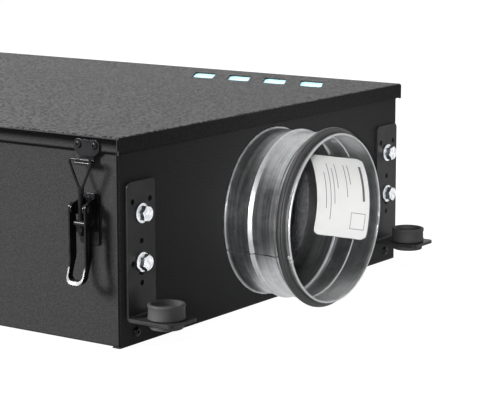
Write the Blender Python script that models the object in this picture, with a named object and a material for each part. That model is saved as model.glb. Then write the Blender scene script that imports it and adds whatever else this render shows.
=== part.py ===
"""Inline reversing heat recovery unit.

A flat folded-steel casing with one round duct spigot on each end, hung by four
angle brackets with rubber mounts and closed by a lift-off lid on four toggle
latches.  Inside a foam liner, air passes a pleated filter, a regenerator core,
a second filter, a reversible axial fan and a round shut-off damper.

Frame: origin at the bottom centre, +X along the ducts, +Z up, metres.
"""
import math

import bmesh
import bpy
from mathutils import Matrix, Vector

MM = 0.001

# ---------------------------------------------------------------- driving sizes
CASE_LENGTH = 600 * MM
CASE_WIDTH = 476 * MM
CASE_HEIGHT = 190 * MM
SHEET = 1.2 * MM
SEAT_GAP = 0.3 * MM
RUNNING_GAP = 0.3 * MM
BEND_RADIUS = 2.0 * MM
PANEL_FOOT = 10 * MM
PANEL_FLANGE = 15 * MM
TRAY_SET_BACK = 2.0 * MM
TRAY_TOP_FLANGE = 14 * MM

LID_OVERHANG = 3 * MM
LID_FLANGE = 15 * MM
LID_SLOT_COUNT = 4
LID_SLOT_LENGTH = 28 * MM
LID_SLOT_WIDTH = 41 * MM
LID_SLOT_SLANT = 24 * MM
LID_SLOT_ROUND = 3 * MM
LID_SLOT_PITCH = 47 * MM
LID_SLOT_INSET_X = 215 * MM
LID_SLOT_INSET_Y = 55 * MM
INSERT_THICK = 2 * MM
INSERT_MARGIN = 6 * MM
GASKET_THICK = 3.2 * MM
GASKET_WIDTH = 10 * MM
GASKET_INSET_X = 1 * MM
GASKET_INSET_Y = 2 * MM

DUCT_RADIUS = 80 * MM
DUCT_WALL = 1.2 * MM
DUCT_DROP = 6 * MM
SPIGOT_LENGTH = 74.5 * MM
SPIGOT_INSERT = 8 * MM
SPIGOT_COLLAR = 2.2 * MM
SPIGOT_COLLAR_THICK = 1.5 * MM
BEAD_HEIGHT = 1.8 * MM
BEAD_CENTRE = 29 * MM
BEAD_HALF_LENGTH = 3.5 * MM
RIB_START = 49 * MM
RIB_END = 57 * MM
RIB_HEIGHT = 1.0 * MM
SEAL_START = 62 * MM
SEAL_LENGTH = 7 * MM
SEAL_LIP = 6.3 * MM
RIM_LENGTH = 2.5 * MM
RIM_HEIGHT = 1.5 * MM
ROUND_STEPS = 32

LINER_END_WALL = 23.4 * MM
LINER_SIDE_WALL = 22 * MM
LINER_FLOOR = 5 * MM
LID_LINER_DEPTH = 13.5 * MM
LID_LINER_GAP = 1.5 * MM
INNER_SIDE_GAP = 0.7 * MM

BRACKET_WIDTH = 40 * MM
BRACKET_THICK = 3.2 * MM
BRACKET_STAND_OFF = 0.9 * MM
BRACKET_DROP = 26 * MM
BRACKET_HEIGHT = 125 * MM
BRACKET_LEG = 51 * MM
BRACKET_CORNER = 5 * MM
BRACKET_BEND = 5 * MM
BRACKET_INSET = 27 * MM
BRACKET_HOLE_RADIUS = 2.5 * MM
BRACKET_HOLE_EDGE = 7.5 * MM
BRACKET_HOLE_DROP = 18 * MM
BOLT_DROP = 29.5 * MM
BOLT_PITCH = 44 * MM
BOLT_TO_HOLE = 19 * MM
BOLT_SLOT_DROP = 7.5 * MM
BOLT_RADIUS = 4 * MM
BOLT_FLANGE_RADIUS = 9 * MM
BOLT_FLANGE_THICK = 1.8 * MM
BOLT_HEX_ACROSS_FLATS = 13 * MM
BOLT_HEAD = 7.8 * MM
BOLT_INNER_LENGTH = 12 * MM
BOLT_POCKET_MARGIN = 3 * MM

MOUNT_OFFSET = 31 * MM
MOUNT_RADIUS = 17 * MM
MOUNT_RISE = 17.5 * MM
MOUNT_DROP = 5 * MM
MOUNT_LOWER_RADIUS = 15.5 * MM
MOUNT_WAIST_RADIUS = 11.7 * MM
MOUNT_BORE_RADIUS = 5 * MM
MOUNT_RECESS_RADIUS = 13.5 * MM
MOUNT_RECESS_DEPTH = 5 * MM

LATCH_INSET = 31.5 * MM
LATCH_PIVOT_OUT = 15 * MM
LATCH_PIVOT_DROP = 64 * MM
TRUNNION_IN = 1.4 * MM
TRUNNION_DROP = 13.5 * MM
TRUNNION_RADIUS = 3 * MM
LATCH_PIN_RADIUS = 1.9 * MM
LATCH_BASE_RISE = 12 * MM
LATCH_BASE_HEIGHT = 46 * MM
LATCH_BASE_HALF_WIDTH = 11 * MM
LATCH_BASE_THICK = 2 * MM
EAR_INNER = 6.2 * MM
EAR_THICK = 1.5 * MM
EAR_RADIUS = 4.8 * MM
EAR_SPREAD = 4 * MM
LEVER_PLATE_THICK = 1.8 * MM
LEVER_DEPTH = 9 * MM
LEVER_TOP_OVER_PIVOT = 5 * MM
LEVER_LENGTH = 67 * MM
LEVER_NECK = 48 * MM
LEVER_RING_THICK = 3.5 * MM
LEVER_RING_ROUND = 7 * MM
LEVER_RING_LEAN = 0.35
LEVER_RING_TAPER = 0.72
HOOK_BAR_DROP = 20.8 * MM
WIRE_RADIUS = 1.3 * MM
LOOP_HALF_WIDTH = 13.5 * MM
LOOP_APEX_RISE = 17 * MM
LOOP_CORNER = 2.6 * MM
ROD_RADIUS = 2.5 * MM
ROD_TAIL = 11 * MM
NUT_ACROSS_FLATS = 8 * MM
NUT_THICK = 4 * MM
KEEPER_HALF_WIDTH = 14.5 * MM
KEEPER_TONGUE_HALF_WIDTH = 9 * MM
KEEPER_THICK = 1.5 * MM
KEEPER_DROP = 3 * MM
TONGUE_TIP_GAP = 0.4 * MM
TONGUE_TOP_GAP = 0.6 * MM

FRONT_PLENUM = 80.1 * MM
FAN_TO_FILTER = 5 * MM
FILTER_DEPTH = 22 * MM
FILTER_SHEET = 2.2 * MM
FILTER_PLEATS = 16
FILTER_POST = 3 * MM
INNER_GAP = 3 * MM
FAN_PLATE_INSET = 180 * MM
FAN_PLATE_THICK = 3 * MM
FAN_BORE_STEP = 4 * MM
FAN_RING_WALL = 3 * MM
FAN_RING_LENGTH = 60 * MM
MOTOR_RADIUS = 28 * MM
MOTOR_LENGTH = 32 * MM
MOTOR_STRUT = 7 * MM
MOTOR_STRUT_COUNT = 3
MOTOR_SHAFT_RADIUS = 4 * MM
IMPELLER_HUB_RADIUS = 30 * MM
IMPELLER_LENGTH = 18 * MM
IMPELLER_TIP_GAP = 3 * MM
IMPELLER_NOSE = 4 * MM
BLADE_COUNT = 7
BLADE_THICK = 2 * MM
BLADE_TWIST = math.radians(48)

DAMPER_SHAFT_INSET = 55 * MM
DAMPER_RING_REACH = 20 * MM
DAMPER_RING_WALL = 3 * MM
DAMPER_BLADE_GAP = 1.6 * MM
DAMPER_BLADE_THICK = 3 * MM
DAMPER_SHAFT_RADIUS = 4 * MM
DAMPER_SHAFT_TAIL = 3 * MM
PARTITION_Y = 95 * MM
PARTITION_THICK = 2 * MM
ACTUATOR_SIZE = (44 * MM, 26 * MM, 58 * MM)
CONTROL_BOX_LENGTH = 128 * MM
CONTROL_BOX_HEIGHT = 100 * MM
CONTROL_GAP = 11 * MM
CONTROL_BOX_WALL = 2 * MM
CONTROL_BOX_CLEAR = 2 * MM
STUD_SIZE = 4 * MM
STUD_INSET = 6 * MM
BOARD_THICK = 1.6 * MM
BOARD_STAND_OFF = 6 * MM
BOARD_EDGE = 2 * MM
BOARD_PARTS = (
    (34 * MM, -12 * MM, 38 * MM, 32 * MM, 30 * MM),
    (74 * MM, 14 * MM, 20 * MM, 16 * MM, 16 * MM),
    (74 * MM, -14 * MM, 20 * MM, 16 * MM, 16 * MM),
    (106 * MM, 0, 12 * MM, 56 * MM, 12 * MM),
)
GLAND_INSET = 68 * MM
GLAND_THREAD_RADIUS = 8 * MM
GLAND_HEX_ACROSS_FLATS = 24 * MM
GLAND_LENGTH = 22 * MM
GLAND_NUT_LENGTH = 7 * MM
GLAND_LIP = 3 * MM
GLAND_BORE_RADIUS = 4 * MM

# ---------------------------------------------------------------- tied sizes
CASE_END = CASE_LENGTH / 2
CASE_SIDE = CASE_WIDTH / 2
PANEL_SIDE = CASE_SIDE - SHEET - SEAT_GAP
LID_UNDER = CASE_HEIGHT - SHEET - SEAT_GAP
PANEL_TOP = LID_UNDER - GASKET_THICK - SEAT_GAP
DUCT_CENTRE_Z = CASE_HEIGHT / 2 - DUCT_DROP
TRAY_BOTTOM = SHEET + SEAT_GAP
TRAY_END = CASE_END - TRAY_SET_BACK
FLANGE_INNER_Y = CASE_SIDE - TRAY_TOP_FLANGE
LINER_X = CASE_END - SHEET - SEAT_GAP
LINER_Y = PANEL_SIDE - SHEET - SEAT_GAP
LINER_BOTTOM = TRAY_BOTTOM + SHEET + SEAT_GAP
LINER_TOP = PANEL_TOP - SHEET - SEAT_GAP
CAVITY_X = LINER_X - LINER_END_WALL
CAVITY_Y = LINER_Y - LINER_SIDE_WALL
CAVITY_FLOOR = LINER_BOTTOM + LINER_FLOOR
INNER_FLOOR = CAVITY_FLOOR + SEAT_GAP
INNER_TOP = LID_UNDER - LID_LINER_DEPTH - INNER_GAP
INNER_HALF_WIDTH = CAVITY_Y - INNER_SIDE_GAP
BORE_CLEARANCE = 0.6 * MM
BRACKET_Y = CASE_SIDE - BRACKET_INSET
BRACKET_INNER_X = CASE_END + BRACKET_STAND_OFF
BRACKET_OUTER_X = BRACKET_INNER_X + BRACKET_THICK
BRACKET_LEG_X = CASE_END + BRACKET_LEG
BRACKET_TOP = CASE_HEIGHT - LID_FLANGE - BRACKET_DROP
BRACKET_BOTTOM = BRACKET_TOP - BRACKET_HEIGHT
BOLT_Z = (BRACKET_TOP - BOLT_DROP, BRACKET_TOP - BOLT_DROP - BOLT_PITCH)
MOUNT_X = CASE_END + MOUNT_OFFSET
MOUNT_TOP = BRACKET_BOTTOM + MOUNT_RISE
MOUNT_BOTTOM = BRACKET_BOTTOM - MOUNT_DROP
LATCH_X = CASE_END - LATCH_INSET
LATCH_PIVOT_Z = CASE_HEIGHT - LATCH_PIVOT_DROP
LATCH_BASE_TOP = LATCH_PIVOT_Z + LATCH_BASE_RISE
LATCH_BASE_BOTTOM = LATCH_BASE_TOP - LATCH_BASE_HEIGHT
TRUNNION_OUT = LATCH_PIVOT_OUT - TRUNNION_IN
TRUNNION_Z = LATCH_PIVOT_Z - TRUNNION_DROP
HOOK_BAR_Z = CASE_HEIGHT - HOOK_BAR_DROP
LOOP_APEX_Z = LATCH_PIVOT_Z + LOOP_APEX_RISE
KEEPER_TOP = CASE_HEIGHT - KEEPER_DROP
LEVER_INNER = EAR_INNER + EAR_THICK + RUNNING_GAP
LEVER_OUTER = LEVER_INNER + LEVER_PLATE_THICK
LEVER_BOTTOM = LATCH_PIVOT_Z - LEVER_LENGTH
LEVER_NECK_Z = LATCH_PIVOT_Z - LEVER_NECK
FAN_PLATE_X = FAN_PLATE_INSET - CASE_END
FAN_BORE_RADIUS = DUCT_RADIUS - FAN_BORE_STEP
FILTER_REAR_X = FAN_PLATE_X + FAN_RING_LENGTH + FAN_TO_FILTER
FILTER_FRONT_X = CAVITY_X - FRONT_PLENUM - FILTER_DEPTH
CORE_REAR_X = FILTER_REAR_X + FILTER_DEPTH + INNER_GAP
CORE_FRONT_X = FILTER_FRONT_X - INNER_GAP
DAMPER_SHAFT_X = DAMPER_SHAFT_INSET - CASE_END
DAMPER_RING_LOW = SPIGOT_INSERT + INNER_GAP - CASE_END
DAMPER_RING_HIGH = DAMPER_SHAFT_X + DAMPER_RING_REACH
ACTUATOR_Y = PARTITION_Y + PARTITION_THICK + SEAT_GAP
CONTROL_BOX_Y = ACTUATOR_Y + ACTUATOR_SIZE[1] + CONTROL_GAP
GLAND_Y = CASE_SIDE - GLAND_INSET

CORNERS = (
    ("front_right", 1, -1),
    ("front_left", 1, 1),
    ("rear_right", -1, -1),
    ("rear_left", -1, 1),
)
ENDS = (("front", 1), ("rear", -1))

# ---------------------------------------------------------------- materials
FINISHES = {
    "casing_black": ((0.045, 0.045, 0.047), 0.30, 0.55),
    "bracket_black": ((0.030, 0.030, 0.032), 0.40, 0.42),
    "latch_black": ((0.012, 0.012, 0.013), 0.20, 0.22),
    "galvanised": ((0.62, 0.64, 0.65), 1.00, 0.32),
    "zinc": ((0.72, 0.73, 0.74), 1.00, 0.25),
    "rubber_black": ((0.020, 0.020, 0.021), 0.00, 0.75),
    "seal_rubber": ((0.060, 0.060, 0.062), 0.00, 0.62),
    "foam_grey": ((0.11, 0.11, 0.12), 0.00, 0.95),
    "insert_cyan": ((0.45, 0.80, 0.82), 0.00, 0.35),
    "filter_cloth": ((0.80, 0.81, 0.78), 0.00, 0.90),
    "core_ceramic": ((0.76, 0.74, 0.70), 0.00, 0.80),
    "plastic_black": ((0.025, 0.025, 0.027), 0.00, 0.45),
    "plastic_grey": ((0.45, 0.46, 0.47), 0.00, 0.50),
    "circuit_green": ((0.03, 0.22, 0.10), 0.00, 0.45),
    "actuator_orange": ((0.75, 0.28, 0.05), 0.00, 0.45),
}


def finish(name):
    """Return the named Principled material, made once."""
    made = bpy.data.materials.get(name)
    if made:
        return made
    colour, metallic, roughness = FINISHES[name]
    made = bpy.data.materials.new(name)
    made.use_nodes = True
    shader = made.node_tree.nodes["Principled BSDF"]
    shader.inputs["Base Color"].default_value = (*colour, 1.0)
    shader.inputs["Metallic"].default_value = metallic
    shader.inputs["Roughness"].default_value = roughness
    made.diffuse_color = (*colour, 1.0)
    return made


# ---------------------------------------------------------------- mesh tools
def mesh_from(bm, name="shape"):
    """Close a bmesh into a mesh whose faces point outwards."""
    bmesh.ops.remove_doubles(bm, verts=bm.verts, dist=1e-7)
    bmesh.ops.recalc_face_normals(bm, faces=bm.faces)
    mesh = bpy.data.meshes.new(name)
    bm.to_mesh(mesh)
    bm.free()
    return mesh


def place(axis):
    """Matrix that turns an outline's (u, v, w) into world axes, w along axis."""
    columns = {
        "X": ((0, 1, 0), (0, 0, 1), (1, 0, 0)),
        "Y": ((1, 0, 0), (0, 0, 1), (0, 1, 0)),
        "Z": ((1, 0, 0), (0, 1, 0), (0, 0, 1)),
    }[axis]
    return Matrix(columns).transposed().to_4x4()


def prism(outline, axis, low, high):
    """Extrude a closed outline along a world axis, from low to high."""
    bm = bmesh.new()
    turn = place(axis)
    rings = []
    for level in (low, high):
        rings.append([bm.verts.new(turn @ Vector((u, v, level))) for u, v in outline])
    count = len(outline)
    bm.faces.new(rings[0])
    bm.faces.new(rings[1])
    for i in range(count):
        j = (i + 1) % count
        bm.faces.new((rings[0][i], rings[0][j], rings[1][j], rings[1][i]))
    return mesh_from(bm)


def box(low, high):
    """Box between two corners."""
    outline = ((low[0], low[1]), (high[0], low[1]), (high[0], high[1]), (low[0], high[1]))
    return prism(outline, "Z", low[2], high[2])


def circle(radius, centre=(0.0, 0.0), steps=ROUND_STEPS, start=0.0, sweep=math.tau):
    """Points on a circle, or on an arc when sweep is less than a full turn."""
    full = abs(sweep) >= math.tau - 1e-9
    count = steps if full else steps + 1
    points = []
    for i in range(count):
        angle = start + sweep * i / steps
        points.append((centre[0] + radius * math.cos(angle), centre[1] + radius * math.sin(angle)))
    return points


def rounded(points, radii, steps=3):
    """Outline with each corner replaced by an arc; radii is one value or one per corner."""
    count = len(points)
    if not isinstance(radii, (tuple, list)):
        radii = [radii] * count
    result = []
    for i in range(count):
        corner = Vector(points[i])
        before = (Vector(points[i - 1]) - corner).normalized()
        after = (Vector(points[(i + 1) % count]) - corner).normalized()
        radius = radii[i]
        if radius <= 0:
            result.append(tuple(corner))
            continue
        half = before.angle(after) / 2
        centre = corner + (before + after).normalized() * (radius / math.sin(half))
        reach = radius / math.tan(half)
        first = corner + before * reach - centre
        last = corner + after * reach - centre
        sweep = first.angle_signed(last)
        for step in range(steps + 1):
            turned = Matrix.Rotation(-sweep * step / steps, 2) @ first
            result.append(tuple(centre + turned))
    return result


def rectangle(low, high):
    """Corners of a rectangle, counter-clockwise."""
    return ((low[0], low[1]), (high[0], low[1]), (high[0], high[1]), (low[0], high[1]))


def sheet_outline(path, thickness):
    """Outline of a folded sheet: the path, then the same path moved to its left by thickness."""
    points = [Vector(p) for p in path]
    inner = []
    for i, point in enumerate(points):
        sides = []
        if i > 0:
            sides.append((point - points[i - 1]).normalized())
        if i < len(points) - 1:
            sides.append((points[i + 1] - point).normalized())
        normals = [Vector((-side.y, side.x)) for side in sides]
        middle = sum(normals, Vector((0, 0))).normalized()
        inner.append(point + middle * (thickness / middle.dot(normals[0])))
    return [tuple(p) for p in points] + [tuple(p) for p in reversed(inner)]


def hexagon(across_flats, centre=(0.0, 0.0)):
    """Hexagon outline with the given distance across its flats."""
    return circle(across_flats / math.sqrt(3), centre, 6, math.pi / 6)


def turned(profile, centre, steps=ROUND_STEPS, axis="X"):
    """Turn a closed (along, radius) profile round an axis through centre."""
    bm = bmesh.new()
    rings = []
    for step in range(steps):
        angle = math.tau * step / steps
        ring = []
        for along, radius in profile:
            if axis == "X":
                offset = Vector((along, radius * math.cos(angle), radius * math.sin(angle)))
            else:
                offset = Vector((radius * math.cos(angle), radius * math.sin(angle), along))
            ring.append(bm.verts.new(Vector(centre) + offset))
        rings.append(ring)
    count = len(profile)
    for step in range(steps):
        here = rings[step]
        there = rings[(step + 1) % steps]
        for i in range(count):
            j = (i + 1) % count
            bm.faces.new((here[i], here[j], there[j], there[i]))
    bmesh.ops.remove_doubles(bm, verts=bm.verts, dist=1e-7)
    bmesh.ops.dissolve_degenerate(bm, edges=bm.edges, dist=1e-7)
    return mesh_from(bm)


def combine(mesh, other, operation):
    """Boolean of two meshes with the exact solver; both inputs are used up."""
    first = bpy.data.objects.new("first", mesh)
    second = bpy.data.objects.new("second", other)
    for item in (first, second):
        bpy.context.collection.objects.link(item)
    modifier = first.modifiers.new("combine", "BOOLEAN")
    modifier.operation = operation
    modifier.solver = "EXACT"
    modifier.object = second
    evaluated = first.evaluated_get(bpy.context.evaluated_depsgraph_get())
    result = bpy.data.meshes.new_from_object(evaluated)
    for item in (first, second):
        bpy.data.objects.remove(item)
    return result


def cut(mesh, *cutters):
    """Cut each cutter out of the mesh in turn."""
    for cutter in cutters:
        mesh = combine(mesh, cutter, "DIFFERENCE")
    return mesh


def join(mesh, *others):
    """Union of the mesh with each of the others."""
    for other in others:
        mesh = combine(mesh, other, "UNION")
    return mesh


def common(mesh, other):
    """What two meshes share."""
    return combine(mesh, other, "INTERSECT")


def mirrored(mesh, x_sign, y_sign):
    """Copy a mesh into another quarter of the casing, still facing outwards."""
    copy = mesh.copy()
    copy.transform(Matrix.Diagonal((x_sign, y_sign, 1, 1)))
    if x_sign * y_sign < 0:
        copy.flip_normals()
    return copy


def node(name, mesh, finish_name, parent=None, smooth=True):
    """Make a named object; a mesh given in world places is moved under its parent's origin."""
    item = bpy.data.objects.new(name, mesh)
    mesh.name = name
    bpy.context.collection.objects.link(item)
    mesh.materials.clear()
    mesh.materials.append(finish(finish_name))
    if parent:
        mesh.transform(Matrix.Translation(-parent.matrix_world.translation))
        item.parent = parent
    if smooth:
        mesh.shade_smooth()
        mesh.set_sharp_from_angle(angle=math.radians(35))
    return item


def joint_empty(name, location):
    """Empty at a joint's axis, which carries the moving pieces."""
    empty = bpy.data.objects.new(name, None)
    empty.empty_display_size = 0.02
    empty.location = location
    bpy.context.collection.objects.link(empty)
    bpy.context.view_layer.update()
    return empty


# ---------------------------------------------------------------- casing
def make_tray():
    """Bottom and both long sides, folded from one sheet with inward top flanges."""
    side = CASE_SIDE
    path = (
        (side - TRAY_TOP_FLANGE, PANEL_TOP),
        (side, PANEL_TOP),
        (side, TRAY_BOTTOM),
        (-side, TRAY_BOTTOM),
        (-side, PANEL_TOP),
        (TRAY_TOP_FLANGE - side, PANEL_TOP),
    )
    outline = sheet_outline(tuple(reversed(path)), SHEET)
    node("tray", prism(outline, "X", -TRAY_END, TRAY_END), "casing_black")


def make_end_panel(name, sign):
    """Folded end pan with a duct bore, bolt holes and flanges tucked into the tray."""
    inner_x = CASE_END - PANEL_FLANGE
    corners = rectangle((inner_x, -PANEL_SIDE), (CASE_END, PANEL_SIDE))
    outline = rounded(corners, (0, BEND_RADIUS, BEND_RADIUS, 0))
    pan = prism(outline, "Z", 0, PANEL_TOP)
    side = PANEL_SIDE - SHEET
    hollow = box((inner_x - SHEET, -side, SHEET), (CASE_END - SHEET, side, PANEL_TOP - SHEET))
    under = box(
        (inner_x - SHEET, -CASE_SIDE, SHEET),
        (TRAY_END + SEAT_GAP, CASE_SIDE, LINER_BOTTOM),
    )
    foot = box((inner_x - SHEET, -CASE_SIDE, -SHEET), (CASE_END - PANEL_FOOT, CASE_SIDE, LINER_BOTTOM))
    notches = []
    for y_sign in (-1, 1):
        near = y_sign * (FLANGE_INNER_Y - SEAT_GAP)
        far = y_sign * CASE_SIDE
        notches.append(
            box(
                (inner_x - SHEET, min(near, far), PANEL_TOP - SHEET - SEAT_GAP),
                (TRAY_END + SEAT_GAP, max(near, far), PANEL_TOP + SHEET),
            )
        )
    bore = prism(
        circle(DUCT_RADIUS + BORE_CLEARANCE, (0, DUCT_CENTRE_Z)), "X", CASE_END - 4 * SHEET, CASE_END + SHEET
    )
    pan = cut(pan, hollow, under, foot, *notches, bore, *bolt_holes(CASE_END - 4 * SHEET, CASE_END + SHEET))
    if sign < 0:
        pan = cut(pan, gland_hole(GLAND_THREAD_RADIUS + RUNNING_GAP))
    node("end_panel_" + name, mirrored(pan, sign, 1), "casing_black")


def bolt_holes(low, high):
    """Cutters for the bracket bolts of one end."""
    cutters = []
    for y_sign in (-1, 1):
        for bolt_z in BOLT_Z:
            hole = circle(BOLT_RADIUS + RUNNING_GAP, (y_sign * BRACKET_Y, bolt_z), 12)
            cutters.append(prism(hole, "X", low, high))
    return cutters


def gland_hole(radius):
    """Cutter for the cable gland, on the end that becomes the rear one."""
    return prism(circle(radius, (GLAND_Y, DUCT_CENTRE_Z), 16), "X", CAVITY_X - MM, CASE_END + MM)


def slot_outline(centre_x, centre_y):
    """One slanted opening of the lid's row, with rounded corners."""
    half = LID_SLOT_LENGTH / 2
    lean = LID_SLOT_SLANT / 2
    depth = LID_SLOT_WIDTH / 2
    corners = (
        (centre_x - half + lean, centre_y - depth),
        (centre_x + half + lean, centre_y - depth),
        (centre_x + half - lean, centre_y + depth),
        (centre_x - half - lean, centre_y + depth),
    )
    return rounded(corners, LID_SLOT_ROUND, 2)


def slot_centres():
    """Centres of the lid's slanted openings, in a row beside the far long edge."""
    y = CASE_SIDE - LID_SLOT_INSET_Y
    first = CASE_END - LID_SLOT_INSET_X
    return [(first + LID_SLOT_PITCH * i, y) for i in range(LID_SLOT_COUNT)]


def insert_box(grow, low, high):
    """Box round the row of lid openings."""
    centres = slot_centres()
    reach_x = LID_SLOT_LENGTH / 2 + LID_SLOT_SLANT / 2 + INSERT_MARGIN + grow
    reach_y = LID_SLOT_WIDTH / 2 + INSERT_MARGIN + grow
    return box(
        (centres[0][0] - reach_x, centres[0][1] - reach_y, low),
        (centres[-1][0] + reach_x, centres[-1][1] + reach_y, high),
    )


def make_lid():
    """Lid sheet with a flange all round, its gasket, its foam and the insert behind its openings."""
    top = CASE_HEIGHT
    x = CASE_END + LID_OVERHANG
    y = CASE_SIDE + LID_OVERHANG
    bm = bmesh.new()
    shell = rounded(rectangle((-x, -y), (x, y)), BEND_RADIUS, 2)
    bm.from_mesh(prism(shell, "Z", top - LID_FLANGE, top))
    rim = [e for e in bm.edges if all(v.co.z > top - MM for v in e.verts)]
    bmesh.ops.bevel(bm, geom=rim, offset=BEND_RADIUS, segments=2, profile=0.5, affect="EDGES")
    inner_x = x - SHEET
    inner_y = y - SHEET
    hollow = box((-inner_x, -inner_y, top - LID_FLANGE - SHEET), (inner_x, inner_y, top - SHEET))
    openings = [prism(slot_outline(*c), "Z", top - 3 * SHEET, top + SHEET) for c in slot_centres()]
    node("lid", cut(mesh_from(bm), hollow, *openings), "casing_black")

    under = LID_UNDER
    insert_low = under - INSERT_THICK
    node("lid_insert", insert_box(0, insert_low, under), "insert_cyan")

    foam_x = CAVITY_X - LID_LINER_GAP
    foam_y = CAVITY_Y - LID_LINER_GAP
    foam = box((-foam_x, -foam_y, under - LID_LINER_DEPTH), (foam_x, foam_y, under))
    pocket = insert_box(SEAT_GAP, insert_low - SEAT_GAP, under + MM)
    node("lid_liner", cut(foam, pocket), "foam_grey")

    outer_x = TRAY_END - GASKET_INSET_X
    outer_y = CASE_SIDE - GASKET_INSET_Y
    ring = box((-outer_x, -outer_y, under - GASKET_THICK), (outer_x, outer_y, under))
    hole_x = outer_x - GASKET_WIDTH
    hole_y = outer_y - GASKET_WIDTH
    ring = cut(ring, box((-hole_x, -hole_y, under - GASKET_THICK - MM), (hole_x, hole_y, under + MM)))
    node("lid_gasket", ring, "rubber_black")


def make_foam_liner():
    """Foam tub that insulates the casing and forms the air way."""
    tub = box((-LINER_X, -LINER_Y, LINER_BOTTOM), (LINER_X, LINER_Y, LINER_TOP))
    cavity = box((-CAVITY_X, -CAVITY_Y, CAVITY_FLOOR), (CAVITY_X, CAVITY_Y, LINER_TOP + MM))
    bore = prism(
        circle(DUCT_RADIUS + BORE_CLEARANCE, (0, DUCT_CENTRE_Z)), "X", -LINER_X - MM, LINER_X + MM
    )
    cutters = [cavity, bore]
    reach = CASE_END - BOLT_INNER_LENGTH - BOLT_POCKET_MARGIN
    half = BOLT_RADIUS + BOLT_POCKET_MARGIN
    for _, x_sign, y_sign in CORNERS:
        pocket = box(
            (reach, BRACKET_Y - half, min(BOLT_Z) - half),
            (LINER_X + MM, BRACKET_Y + half, max(BOLT_Z) + half),
        )
        cutters.append(mirrored(pocket, x_sign, y_sign))
    cutters.append(mirrored(gland_hole(GLAND_THREAD_RADIUS + BOLT_POCKET_MARGIN), -1, 1))
    node("foam_liner", cut(tub, *cutters), "foam_grey")


# ---------------------------------------------------------------- spigots
def make_spigot(name, sign):
    """Round duct spigot with a collar, a bead, a stepped rib and a rolled mouth rim."""
    radius = DUCT_RADIUS
    base = CASE_END + SEAT_GAP
    outer = [
        (CASE_END - SPIGOT_INSERT, radius),
        (base, radius),
        (base, radius + SPIGOT_COLLAR),
        (base + SPIGOT_COLLAR_THICK, radius + SPIGOT_COLLAR),
        (base + SPIGOT_COLLAR_THICK, radius),
        (CASE_END + BEAD_CENTRE - BEAD_HALF_LENGTH, radius),
        (CASE_END + BEAD_CENTRE, radius + BEAD_HEIGHT),
        (CASE_END + BEAD_CENTRE + BEAD_HALF_LENGTH, radius),
        (CASE_END + RIB_START, radius),
        (CASE_END + RIB_START + RIB_HEIGHT, radius + RIB_HEIGHT),
        (CASE_END + RIB_END - RIB_HEIGHT, radius + RIB_HEIGHT),
        (CASE_END + RIB_END, radius),
        (CASE_END + SPIGOT_LENGTH - RIM_LENGTH, radius),
        (CASE_END + SPIGOT_LENGTH - RIM_LENGTH, radius + RIM_HEIGHT),
        (CASE_END + SPIGOT_LENGTH, radius + RIM_HEIGHT),
    ]
    inner = [
        (CASE_END + SPIGOT_LENGTH, radius - DUCT_WALL),
        (CASE_END + BEAD_CENTRE + BEAD_HALF_LENGTH, radius - DUCT_WALL),
        (CASE_END + BEAD_CENTRE, radius + BEAD_HEIGHT - DUCT_WALL),
        (CASE_END + BEAD_CENTRE - BEAD_HALF_LENGTH, radius - DUCT_WALL),
        (CASE_END - SPIGOT_INSERT, radius - DUCT_WALL),
    ]
    spigot = turned(outer + inner, (0, 0, DUCT_CENTRE_Z))
    node("spigot_" + name, mirrored(spigot, sign, 1), "galvanised")

    start = CASE_END + SEAL_START
    seat = radius + SEAT_GAP
    seal = (
        (start, seat),
        (start, seat + SEAL_LIP / 2),
        (start + SEAL_LENGTH / 2, seat + SEAL_LIP),
        (start + SEAL_LENGTH * 0.8, seat + SEAL_LIP * 0.9),
        (start + SEAL_LENGTH, seat + SEAL_LIP / 3),
        (start + SEAL_LENGTH, seat),
    )
    ring = turned(seal, (0, 0, DUCT_CENTRE_Z))
    node("spigot_seal_" + name, mirrored(ring, sign, 1), "seal_rubber")


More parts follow.
